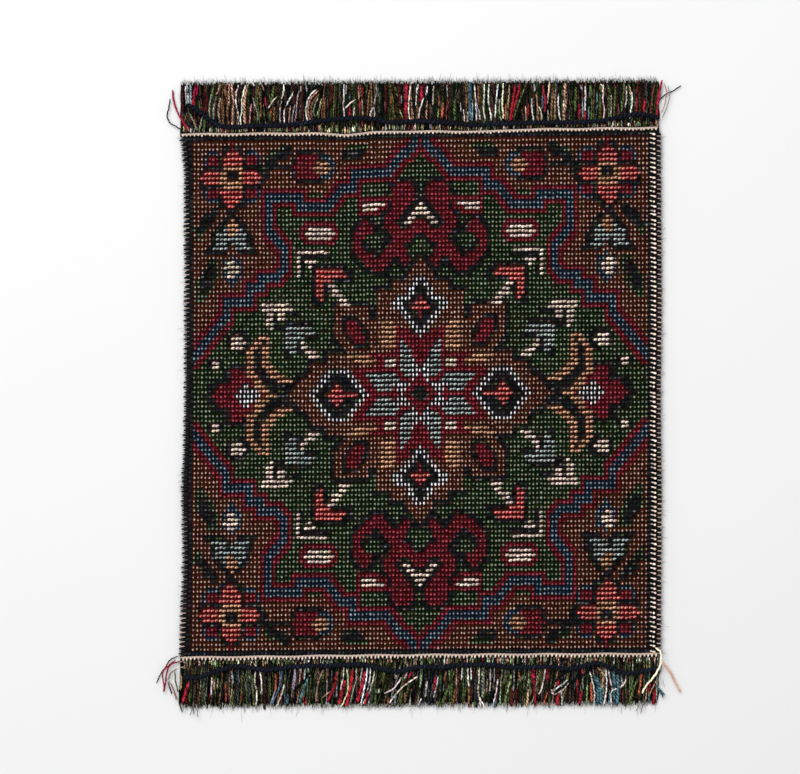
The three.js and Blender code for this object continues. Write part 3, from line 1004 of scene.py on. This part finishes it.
# The yarns that stand out, one to a line: its colour, its width in millimetres, and the points
# it runs through, counted across and down a view 800 units wide
FAR_YARNS = """
w .30 185.5,86.4 186,97 186.8,104
p .55 187,84.4 188,96 188.5,106
p .55 190.5,84.4 191,96 191,108
c .75 195.5,85.4 194.5,94 194,100
r .70 194.5,96 193.5,104 193.5,110
c .45 197.5,85.4 197,96
n .50 200,86.4 201,98 202,108 203,114
g .35 199,101 200,106 201,110
m .50 205.5,86.4 205,98 205,108 205,118
m .45 207.5,95 206.5,104 206,112
g .45 207,85.4 206,93
s .40 211,95 210,104 209.5,112 209.5,120
g .50 214,85.4 212.5,93 211.5,99
t .45 219.5,85.4 218.5,91 216,95
v .35 216.5,97 214.5,104 213.5,112 214,120
n .40 223.5,84.4 219.5,94 216,102
t .50 221,98 219,106 218.5,113 220.5,123
b .50 222.5,96 222,108 223,120 223.5,126
b .60 225.5,84.4 225.5,94 228,104 227.5,114 229.5,128
t .40 229.5,84.4 229,96 229.5,106
t .55 232,84.4 232.5,94 234,102 233,112 232.5,126
w .36 238.5,85.4 236.5,94 236,103 238,112 238.5,125
n .50 240,92 239.5,104
w .40 246,85.4 243.5,93 242,101 242,110 240.5,119 241,127
t .70 248.5,85.4 245.5,94 244.5,104 244.5,114 245,125
d .50 250,86.4 248.5,104 248.5,118
t .45 251.5,104 250.5,112 249.5,124
w .35 252.5,81.9 254.5,86.5
v .40 253,98 255,106 257.5,115 257,123
b .50 258,86.4 260,96 261,106 261,118
t .40 262,84.4 264,91
g .50 264,112 264.5,121
c .35 265.5,97 265.5,106
g .70 273.5,86.4 272.5,96 270.5,104
w .36 277.5,96.5 273,101 268.5,108.5
o .45 271,108 271.5,114
b .50 274.5,107 274,122
g .45 270,111 270.5,122
w .40 284,84.4 283.5,93 281.5,99
v .38 281.5,101 280,110 280.3,123
w .38 293.5,92 290,99 286.5,106
w .38 285,109 284,116 284.8,124
t .40 290.5,106 289.5,114 288.5,125
v .36 299.5,91 297.5,98 296.5,108 296,116 294.5,124
v .34 295,105 293,114 292,124
v .45 301,86.4 301,93
v .45 306,85.4 307,92
w .42 316.5,90 311,95 307.5,102 306,111 306.8,118 309,123
t .50 318,91 312,97.5 309,104 308.3,113 310.5,122
b .50 319.5,94 314,101 311.2,108 311.3,118
v .36 318,98 315,105 313.5,112 315.5,117
s .50 321.5,99 320,107 317,116
g .60 319,112 318.5,121
b .45 325,99 324.5,108 325,122
t .35 325.5,98 324.5,104
m .50 332,84.4 332,96 330.5,108
g .40 331,106 331,121
v .40 320.5,82.9 323,86
w .38 344,84.4 343.7,96 343.5,107 344.5,118
v .40 346.5,85.4 346,95
u .40 350,94 349.5,101
w .38 355.5,100 350,103.5 345.5,108.5
c .70 350,108 349.5,117
w .34 354.3,106 353.5,117
t .40 358.5,86.4 359,100
m .70 362,86.4 363,96
r .45 360,101 360,112
s .35 362.5,101 363,116
g .45 367,84.4 366.5,95
b .40 369.5,90 368,104 367.5,116
v .38 376,82.4 376.5,92 374.5,102 374,108
w .38 370,116.5 371.5,111 373.5,108 374.8,112 374.5,117
g .40 380,92 379.5,104 379,114
m .50 386,85.4 386,100 385.5,114
g .50 394.5,86.4 397.5,97
g .40 391,92 394,104
o .35 390.5,95 391,103 392,110
g .50 393,104 394.5,119
v .32 401.5,96 401.5,104
s .36 400,110 401,114 402.5,119
c .85 406.3,83.4 406.2,96 406,108 405.8,121
w .38 410.5,84.4 409.5,94 408.8,104 408.8,112 410.2,121
t .45 411,98 412,108 413.5,120
w .60 418,84.9 417.3,90
w .38 417,86.4 416.5,96 415.8,106
b .45 417,104 417.5,112 417,120
r .80 421,92 421,102
w .38 424,98 421.5,105 419.5,112 418.5,120
c .80 421.3,86.4 422,98
w .50 427.5,86.4 426,96
t .40 427.3,101 426.5,111 426.3,121
n .50 430,104 430.5,121
v .36 433.5,86.4 433,98 433,106
o .35 439,96 439,107
s .36 438.5,109 438,121
g .45 442.5,98 441.5,108
o .60 443.3,103 442.2,112 441.5,121
v .34 447,85.4 447.3,98
m .40 448,98 448.5,112
g .70 455.5,98 454.5,108 455,121
n .40 459.5,86.4 458,104
v .30 460.3,103 461,112
w .32 463.5,110 464.5,122
w .32 467.8,112 467.7,122
u .85 470,82.4 470,98 470,110 471,121
p .35 472.3,100 472.5,121
w .40 474.3,85.4 475.2,97 476,108 476.3,121
w .36 476.5,104 478.8,112 480,120
b .55 478,85.4 478.3,96 478.3,105
w .38 484.3,84.4 484.2,97 483.3,108 485.5,121
w .38 489,84.4 488.3,96 488.6,105 490.5,113 491,121
w .38 498.3,84.4 496.7,95 495.6,106 495.2,118
s .40 500,99 499.3,110 501,121
y .40 503.2,83.4 502.5,96 502.2,106 503.3,119
o .40 505.5,104 505.3,120
t .40 509.3,85.4 508.7,98 507.7,110
g .50 507.5,100 507.2,121
r .60 515.3,84.4 513.5,96 511.5,108 510.3,121
r .55 519.5,84.4 518,94 514.5,106 511.5,120
g .55 525.5,85.4 521.5,96 517.5,106 514,118
k .80 530,85.4 525,97 519.5,109 516.5,121
t .36 525.3,106 526.2,121
r .35 528.3,104 528,116
n .40 532,87.4 531,98
w .35 531.4,99 531.8,109 533.2,121
v .50 534,82.9 534.5,92
t .36 536,94 537.3,106 538.2,121
w .34 539,107 541.3,114 541.5,121
c .45 543.3,85.4 543.5,95
u .40 542.3,96 543,110
c .60 544.8,94 544.8,112
y .40 549,82.4 548.5,93 547.3,104
v .38 547.8,110 548,122
b .60 552.3,84.4 553,95 551.3,106 551.3,121
t .38 555.3,90 554.5,106 555,120
w .40 558.2,94 558,103 558.6,112 560,121
t .70 565,83.4 564.7,95 565.4,104 563.8,113 564.8,122
w .30 563.2,100 563.5,110
c .45 565,112 565,123
g .70 576,87.4 575.3,100 575,112
c .50 579.3,104 579.3,119
v .50 580,85.4 582.5,91
p .35 582.3,98 583,118
w .42 585,86.4 585.5,96 584.6,105 585.3,112
c .45 585.3,110 585,121
p .36 589,107 588,121
g .50 590,85.4 590,99
g .50 593,108 593.3,121
u .40 597,92 597,110
g .70 600,85.4 600,100 599.3,121
w .42 603.2,84.4 602.6,95 603.1,104 604.2,112 603,121
w .35 600.3,84.4 603.8,86.8
g .75 607,84.4 609.5,95 609,108 609,119
w .30 610.8,95 611,106 610.4,118
g .50 615.3,87.4 614.5,104 614,119
s .30 621.5,100 621.3,112
g .60 623.8,82.4 623.3,96 622,110
w .36 626.3,86.4 626.2,97 625,108
t .40 629.3,86.4 631,97
w .38 631.5,92 632,101 631,109 629.5,119
m .60 637,86.4 636.7,98
c .50 636.8,98 636.3,113
r .60 644.3,98 643.6,113
b .45 654.3,84.4 652.3,95 651.3,105 650.3,116
r .60 662,80.4 659.5,90 658,97
c .90 659.5,92 657.8,100 656.8,106
r .50 657.3,107 656.2,117
"""
NEAR_YARNS = """
r .85 189.5,682 186.5,690 183,702.4
g .40 190,692 189.5,704.4
n .60 195,683 195.5,707.4
n .50 198,680 198.5,707.4
w .40 212,677 211.7,686 211.3,695
t .40 214.3,679 214.5,690
s .40 218,678 217.8,688
g .50 222,678 220,690
o .50 225.3,683 226,692 226,701.4
p .50 232,671 232.7,677 233.2,683
g .60 234,690 232,705.4
e .45 238.3,671 238.6,686
g .50 243.3,671 242,686 240.3,705.4
r .40 241.3,689 242,701.4
e .60 248,677 249,702.4
g .60 252.3,674 253,690 254.3,706.4
w .42 255.5,671 255,682 257,692 256.3,706.4
w .36 260,671 261.5,680 262,686 261,694
n .50 264.5,677 265.5,693
g .50 270.3,677 270.2,696
o .60 275.3,673 276.2,683 275.3,691
u .45 282.3,669 280.8,679 279,688 272.3,703.4
p .34 276.3,688 273.5,696 270,704.9
w .36 284.3,684 281.5,695 276.3,707.4
g .45 285,674 284.5,690
u .70 288,694 287,706.4
v .70 295,667 295,678 293,690
w .36 301,667 300.3,677
m .45 302.3,672 303,681
w .36 305.3,667 304.3,680
w .40 308.2,667 309.3,676
k .70 311,671 304,680 296,690
u .80 308,678 303.5,689 299.3,702.4
o .40 302.3,690 303.3,701.4
c .50 306.3,697 305.3,705.4
t .36 323.3,669 319.5,679 317,690 316,701.4
g .50 322.5,671 323,682
b .50 327.3,668 326,680
r .80 337.3,671 335.5,681 332.8,691 327,701.4
t .40 330.5,691 326,694.5 322.5,697.5
g .40 321.5,696 322.5,704.4
w .42 343.7,667 343.2,677 341.2,687 341.3,693
v .36 337,685 336.3,697
r .90 345.3,680 342.2,691 339.3,704.4
y .36 347,669 348.2,679 348,690 344.3,701 340.5,707.4
r .80 352.3,669 351.5,681 349,693 346.3,706.4
s .42 356.3,667 356.2,679 353.3,690 350,703.4
w .38 362.2,667 360.3,681
r .80 365.3,671 362.5,684 357,702.4
w .42 367.3,667 366.3,679 364,690 361,704.4
w .36 370.3,667 370,678 367.3,690
w .38 374.3,669 373.3,679 370,690 363.3,703.4
c .60 368.3,690 364.5,705.4
v .40 369.3,698 368.5,707.4
g .60 376,688 375,706.4
g .70 384.3,671 382.3,681
g .60 395,661 395.2,669
v .70 395.3,672 396,679
v .50 407.3,662 407,667
w .40 401.5,677 396.5,685 391,690 384.3,693
v .60 379.5,688 378.5,693
w .40 417.3,676 409.5,681.5 401.3,688 393.5,697 388.5,703.4
w .50 407.3,672 404.3,678
c .60 412,671 408.3,678
p .60 396,695 394.5,704.4
b .50 388.5,697 388,705.4
g .50 402.3,690 400.3,704.4
b .50 405.3,692 404.8,703.4
n .60 420.3,687 417,695 414,704.4
w .36 421.3,698 418.5,705.4
p .50 410.3,697 409.8,705.4
v .50 427.3,681 425,697
c .60 435.3,677 434,691
w .38 438,676 436.5,686 433.3,697
g .60 447,689 444,697 441,706.4
g .60 454,671 449.5,684 443.5,701.4
b .60 446.3,671 444.3,681
n .60 459.3,673 457.3,691
b .60 455.3,689 452.3,706.4
w .36 462,667 461.3,680
w .36 467.7,667 468.1,680 469,688
b .60 468.3,686 469.3,707.4
w .36 470.7,667 471.2,680
e .50 475.3,676 475,701.4
w .42 479.3,667 479,680 478.2,692 481.2,707.4
w .36 478.7,696 481.5,701 484.7,707.4
s .90 482.8,667 482.9,680 483.3,690 482.3,698
t .36 487.3,679 486.3,692
w .34 490.5,667 490.3,680 489.5,691
v .34 494.3,667 494.3,682
w .40 497.7,679 496.3,691 493.3,703.4
u .50 496.3,699 494.3,707.4
g .60 505.3,671 504.5,685
g .60 508.5,679 506,701.4
s .50 511.5,674 508,688 504,705.4
b .60 518.3,671 520,681
m .70 512,688 511.5,706.4
m .60 516.5,688 516,706.4
s .45 528.3,675 529.3,684 531.3,693
t .50 528.3,689 526.5,706.4
c .95 533,667 533.5,683
r .60 533.5,683 534.3,692 535.3,705.4
w .38 545.3,667 543.3,680 541,690 538.3,694
c .60 547.3,667 547,681
g .50 540.3,669 540,682
o .50 547.3,692 543.3,705.4
g .60 549.5,696 549,707.4
w .60 551.3,689 553,694
k .80 576,664 566,672 555,681
k .90 592,668 576,679 556,691
v .30 566.5,674 560,678.5
w .40 567.3,679.5 561,685 553.5,690.5
w .36 568.7,683 561.5,690.5 553.7,694.5
r .70 558.3,678 557.8,686
r .80 558.3,692 557,705.4
w .36 561.3,685 562,704.4
n .60 570.3,682 569.3,704.4
c .70 581.3,667 583.3,674
r .45 577.3,679 577.5,693
w .34 582.3,679 583.3,689
c .80 580.8,691 579.3,705.4
s .50 587.3,684 586.3,705.4
o .60 590.7,682 591.7,701.4
w .38 589.3,670 592.2,680 594.2,692 594.3,704.4
u .95 593.5,674 597.5,686 597,704.4
u .90 596.5,676 600.5,690 601,704.4
t .50 597.3,667 601.5,671 602.8,680 601.3,691
w .42 605.3,667 606.3,680 606,692 603.3,705.4
w .36 608.3,669 610.2,680 612.2,690
w .42 626.2,675 624.4,682.5 618.3,688 612.3,690 610.3,695 611.3,705.4
u .80 614,670 614,685 614,704.4
u .80 617.5,674 618,688 617,703.4
u .60 610,690 609,704.4
v .36 621.3,673 622.3,687
n .70 623,690 622.5,704.4
n .60 627,688 626.5,704.4
g .50 633.3,675 630.3,691
g .60 637,679 632.5,691 628.3,704.4
o .60 641.3,671 640.2,684 638.2,694
e .50 647.3,673 646.3,686
c .50 650.5,681 647.5,692
t .36 657.3,669 656.2,676
t .34 657.3,679 651.5,689 648.3,696
u .50 649.3,693 648.5,701.4
r .70 654.5,689 653.3,704.4
"""

# The threads that have come loose at the corners and lie on the table, or cross the cloth
FAR_STRAY_YARNS = """
c .52 172.8,90,.4 173,95,.4 174.5,103,.4 177,111,.7 183,122,1.6 189,131,2
k .36 170.5,99 169,108 167.3,116 168,119.5 171.5,124.5 175,126 179,128.5 186,132
k .26 181,82.5 181.7,90 181.3,100 181.7,112
e .40 182,113 187.5,121 195,132
b .45 187,114.5 191.5,121 195.5,131
v .36 191,115.5 194,122 196.5,130
s .50 190,114,1 193.5,121,1.2 198,131,1.3
m .50 195,116,1 196,127,1.2
s .50 202.5,117,1 199.5,131,1.3
g .50 206,117,1 204,131,1.2
a .55 186,126,1.2 189.5,131.5,2
k .30 655,106 660,99.5 666,94 673,91 681,85.5
t .26 664,84 666.5,92 665,102 661.5,113
v .24 668,86 669.5,96 667,106 662,118
w .24 659.5,118 658.5,122 656.5,127
"""
NEAR_STRAY_YARNS = """
e .30 178,656 170,660 166,666 160,675 156.5,683
r .42 179,661 170,665 167,673 166,681 164,691.5
r .36 176,659.5 168,666 163,672 164,684 165,691
t .36 178,668 171,673 168,680
t .45 187,660.5 182,661.5 177,662
t .50 187,667.5 180,667
g .34 175,671 176,682 178.5,692
t .24 172,684 175,692 178,700
o .24 169.5,681 174,690 176.5,700
e .34 168,681 170,688 172,694
k .34 189.5,682 184,690 180,697 180,704 182.5,712
t .50 181,673 181.5,682 180.5,690
v .26 193.5,703 192.5,709 190,715
v .24 196,704 197.5,711 198,717
k .24 191,702 193.5,708 194.5,714
l .50 655,647,2 659.5,651,2.3 660.5,658,2.4 658,668,2.4 652,678,1.6 645.3,686,1.3 642,693,1.3
a .52 661.5,661 668.5,669.5 674,680 680,692
u .45 656,686 660,690 664.5,695
u .40 657,689 661,693 663,697
g .26 660,662 661,669 658,675
v .24 641,700 638,706 635.5,711
v .22 644,700 642,707 640.5,713
"""


def seen_at(across, down):
    """Where a point of the view lies on the table, in millimetres."""
    unit = VIEW_WIDTH / VIEW_UNITS[0]
    return (
        VIEW_CENTRE[0] + (across - VIEW_UNITS[0] / 2) * unit,
        VIEW_CENTRE[1] - (down - VIEW_UNITS[1] / 2) * unit,
    )


# How far a yarn strays from its smooth route, and how far its colour does from its ink
WANDER = 0.035
INK_SPREAD = 0.08


class Bundle:
    """Yarns of many colours, gathered to be joined into one piece."""

    def __init__(self):
        self.parts = []
        self.dye = []
        self.tint = []
        self.ply = []
        self.twist = []

    def add(self, stops, width, letter, tint, step=0.5, sides=6, taper=0.6):
        route = smooth_route(stops, step)
        route[1:-1, :2] += rng.normal(0, WANDER, (len(route) - 2, 2))
        part = spun(route, width, WARP_LAY, sides, lobes=0.3, taper=taper)
        count = len(part[0])
        self.parts.append(part)
        ink = np.array(WARP_INK[letter]) * rng.normal(1, INK_SPREAD, 3)
        self.dye.append(np.tile(ink, (count, 1)))
        self.tint.append(np.full(count, tint))
        self.ply.append(plies(route, WARP_LAY, sides) + rng.random())
        self.twist.append(np.full(count, WARP_FURROW_PAINTED_SHADE[letter]))

    def piece(self, name, material, replaced=()):
        points, faces = together(*self.parts)
        joined(name, points, faces, np.concatenate(self.tint), material,
               dye=np.vstack(self.dye), ply=np.concatenate(self.ply),
               twist=np.concatenate(self.twist), replaced=replaced)


def mixed(letters):
    return letters[rng.integers(len(letters))]


# The layers of warp ends, from the bottom up
WARP_PITCH = 0.3
STRANDS = 420
UNDER_WIDTH = 0.64
UNDER_HEIGHT = 0.4
ROOT_HEIGHT = 0.55
STRAND_HEIGHTS = (0.32, 0.62)
STUB_HEIGHT = 0.85


def under_layer(bundle, line, tips, outward, lean, ragged):
    """The dark warp ends at the bottom, which close the fringe."""
    for x in np.arange(-HALF_FRINGE, HALF_FRINGE + 0.1, WARP_PITCH):
        root = line_at(line, x) - outward * 0.5
        tip = line_at(tips, x) + outward * (rng.normal(0, ragged / 2) - 0.4)
        middle = (root + tip) / 2
        sway = 0.5 * lean(x)
        stops = [
            (x, root, UNDER_HEIGHT + 0.08),
            (x + 0.3 * sway, middle, UNDER_HEIGHT),
            (x + sway, tip, UNDER_HEIGHT),
        ]
        bundle.add(stops, UNDER_WIDTH, mixed(UNDER_MIX), rng.uniform(0.3, 0.8), step=0.9, sides=5)


def warp_strands(bundle, line, tips, outward, lean, ragged, letters):
    """The warp ends over them, high and low by turns, from the cream pick to their tips."""
    for n in range(STRANDS):
        x = (2 * (n + rng.uniform(-0.5, 0.5)) / (STRANDS - 1) - 1) * HALF_FRINGE
        height = STRAND_HEIGHTS[n % 2]
        root = line_at(line, x) - outward * 0.4
        tip = line_at(tips, x) + outward * (rng.normal(0, ragged) - 0.1)
        sway = lean(x) + rng.normal(0, 0.22)
        bow = rng.normal(0, 0.12)
        reach = tip - root
        stops = [
            (x, root, ROOT_HEIGHT),
            (x + 0.1 * sway, root + 0.2 * reach, height),
            (x + 0.35 * sway + bow, root + 0.5 * reach, height),
            (x + 0.7 * sway + bow, root + 0.78 * reach, height * 0.9),
            (x + sway, tip, height * 0.8),
        ]
        bundle.add(stops, rng.uniform(0.30, 0.44), mixed(letters), rng.uniform(0.4, 1.5),
                   step=0.8, sides=5)


def warp_stubs(bundle, line, outward):
    """The short lit parts of the warp ends between the cream pick and the navy one."""
    for x in np.arange(0.2 - HALF_FRINGE, HALF_FRINGE - 0.1, WARP_PITCH):
        start = line_at(line, x) + outward * rng.uniform(0.2, 0.6)
        end = start + outward * rng.uniform(0.6, 1.7)
        stops = [(x, start, STUB_HEIGHT), (x + rng.normal(0, 0.12), end, STUB_HEIGHT + 0.03)]
        bundle.add(stops, rng.uniform(0.2, 0.4), mixed(STUB_MIX), rng.uniform(0.5, 2.6),
                   step=0.3, sides=5)


def loose_fibres(bundle, line, tips, outward, lean, count, letters):
    """Fine fibres that have worked out of the warp ends and lie over them."""
    for x in rng.uniform(0.1 - HALF_FRINGE, HALF_FRINGE - 0.1, count):
        low = line_at(line, x) + outward * 1.2
        reach = line_at(tips, x) - low
        start = rng.uniform(0, 0.7)
        end = start + rng.uniform(0.1, 0.28)
        sway = lean(x) + rng.normal(0, 1.1)
        z = rng.uniform(0.95, 1.15)
        stops = [
            (x + sway * start, low + reach * start, z),
            (x + sway * (start + end) / 2 + rng.normal(0, 0.1), low + reach * (start + end) / 2, z),
            (x + sway * end, low + reach * end, z),
        ]
        bundle.add(stops, rng.uniform(0.06, 0.12), mixed(letters), rng.uniform(0.3, 1.3),
                   step=0.6, sides=3, taper=0.4)


def tabled_yarns(bundle, table, low, high):
    """The yarns of a table, at heights between low and high where a stop names none."""
    for entry in table.strip().splitlines():
        letter, width, *stops = entry.split()
        height = rng.uniform(low, high)
        route = []
        for stop in stops:
            across, down, *own_height = map(float, stop.split(","))
            z = own_height[0] if own_height else height + rng.normal(0, 0.02)
            route.append((*seen_at(across, down), z))
        bundle.add(route, float(width) * 0.9, letter, rng.uniform(0.8, 1.2), step=0.4,
                   taper=0.55)


def frayed_ends_and_tip_shadow(bundle, tips, outward, lean, count, length, letters):
    """Fine fibres that stand out of the cut ends, dark and dense: partly real fuzz, partly a
    painted shadow beyond the tips.
    """
    for x in rng.uniform(0.1 - HALF_FRINGE, HALF_FRINGE - 0.1, count):
        y = line_at(tips, x) - outward * rng.uniform(0.1, 0.6)
        sway = 0.3 * lean(x) + rng.normal(0, 0.2)
        out = outward * rng.exponential(length) + outward * 0.5
        z = rng.uniform(0.15, 0.7)
        stops = [(x, y, z), (x + 0.4 * sway, y + 0.5 * out, z), (x + sway, y + out, z * 0.8)]
        bundle.add(stops, rng.uniform(0.03, 0.06), mixed(letters), rng.uniform(0.5, 1.5),
                   step=0.5, sides=3, taper=0.4)


def far_lean(x):
    return 0.45 * math.sin(x / 4.3 + 0.4) + 0.3 * math.sin(x / 1.9)


def near_lean(x):
    middle = math.exp(-((x + 5) / 7) ** 2) + 0.8 * math.exp(-((x - 27) / 6) ** 2)
    return -0.35 - 1.6 * middle + 0.35 * math.sin(x / 3.1)


warp_yarn = yarn_material("warp_yarn", fine=2800, coarse=1100, spread=3.4, plied=True)
loose_yarn = yarn_material("loose_yarn", fine=2800, spread=1.0, plied=True)
FAR_TIPS = ([-50, 50], [65.2, 65.8])
NEAR_TIPS = ([-50, 50], [-64.6, -63.9])

far = Bundle()
under_layer(far, FAR_END, FAR_TIPS, 1, far_lean, 0.16)
warp_strands(far, FAR_END, FAR_TIPS, 1, far_lean, 0.16, FAR_MIX)
warp_stubs(far, FAR_END, 1)
tabled_yarns(far, FAR_YARNS, 0.82, 1.0)
loose_fibres(far, FAR_END, FAR_TIPS, 1, far_lean, 700, FAR_FIBRE_MIX)
frayed_ends_and_tip_shadow(far, FAR_TIPS, 1, far_lean, 2400, 0.27, FAR_TIP_AND_SHADOW_MIX)
far.piece("fringe_yarns_far", warp_yarn, ["fringe_far"])

near = Bundle()
under_layer(near, NEAR_END, NEAR_TIPS, -1, near_lean, 0.4)
warp_strands(near, NEAR_END, NEAR_TIPS, -1, near_lean, 0.4, NEAR_MIX)
warp_stubs(near, NEAR_END, -1)
tabled_yarns(near, NEAR_YARNS, 0.82, 1.05)
loose_fibres(near, NEAR_END, NEAR_TIPS, -1, near_lean, 800, NEAR_FIBRE_MIX)
frayed_ends_and_tip_shadow(near, NEAR_TIPS, -1, near_lean, 2600, 0.34, NEAR_TIP_AND_SHADOW_MIX)
near.piece("fringe_yarns_near", warp_yarn, ["fringe_near"])

strays = Bundle()
tabled_yarns(strays, FAR_STRAY_YARNS, 0.5, 1.0)
tabled_yarns(strays, NEAR_STRAY_YARNS, 0.4, 1.2)
strays.piece("stray_yarns", loose_yarn)

# Fine fibres along the selvedges and the navy picks


def pick_fuzz(bundle, route):
    """Short fibres that lie across a navy pick, on top of it."""
    top = NAVY_HEIGHT + 0.42
    for x, y, z in smooth_route([(x, y, top) for x, y in route], 0.25):
        dx, dy = rng.normal(0, 0.35, 2)
        stops = [(x - dx, y - dy, z - 0.1), (x, y, z), (x + dx, y + dy, z - 0.1)]
        bundle.add(stops, rng.uniform(0.04, 0.08), mixed(PICK_FUZZ_MIX), rng.uniform(0.5, 1.6),
                   step=0.3, sides=3, taper=0.4)


def selvedge_fuzz(bundle, edge, outward, count):
    """Fibres that stand out of the weft turns, at any height."""
    for y in rng.uniform(-54, 54.5, count):
        x = line_at(edge, y) - outward * 0.35
        out = outward * (0.4 + rng.exponential(0.22))
        rise = rng.normal(0, 0.25)
        z = rng.uniform(0.3, 1.5)
        stops = [(x, y, z), (x + 0.6 * out, y + 0.3 * rise, z), (x + out, y + rise, z * 0.8)]
        bundle.add(stops, rng.uniform(0.03, 0.06), mixed(SELVEDGE_FUZZ_MIX),
                   rng.uniform(0.5, 1.5), step=0.4, sides=3, taper=0.4)


fuzz = Bundle()
pick_fuzz(fuzz, FAR_NAVY_ROUTE)
pick_fuzz(fuzz, NEAR_NAVY_ROUTE)
selvedge_fuzz(fuzz, LEFT_EDGE, -1, 420)
selvedge_fuzz(fuzz, RIGHT_EDGE, 1, 900)
fuzz.piece("loose_fibres", loose_yarn)

# Floor and light

bpy.ops.mesh.primitive_plane_add(size=2, location=(0, 0, -0.00002))
floor = bpy.context.object
floor.name = "white_table"
paper = Shader("white_table")
paper.surface.inputs["Base Color"].default_value = (0.515, 0.515, 0.518, 1)
paper.surface.inputs["Roughness"].default_value = 0.9
floor.data.materials.append(paper.material)

bpy.ops.object.light_add(type="AREA", location=(-0.15, 0.25, 0.6))
lamp = bpy.context.object
lamp.name = "softbox"
lamp.data.shape = "RECTANGLE"
lamp.data.size = 0.6
lamp.data.size_y = 0.6
lamp.data.energy = 6.5
lamp.rotation_euler = (math.radians(-22), math.radians(-14), 0)

world = bpy.data.worlds.new("studio")
bpy.context.scene.world = world
world.use_nodes = True
world.node_tree.nodes["Background"].inputs["Color"].default_value = (1, 1, 1, 1)
world.node_tree.nodes["Background"].inputs["Strength"].default_value = 0.75
bpy.context.scene.view_settings.view_transform = "Standard"
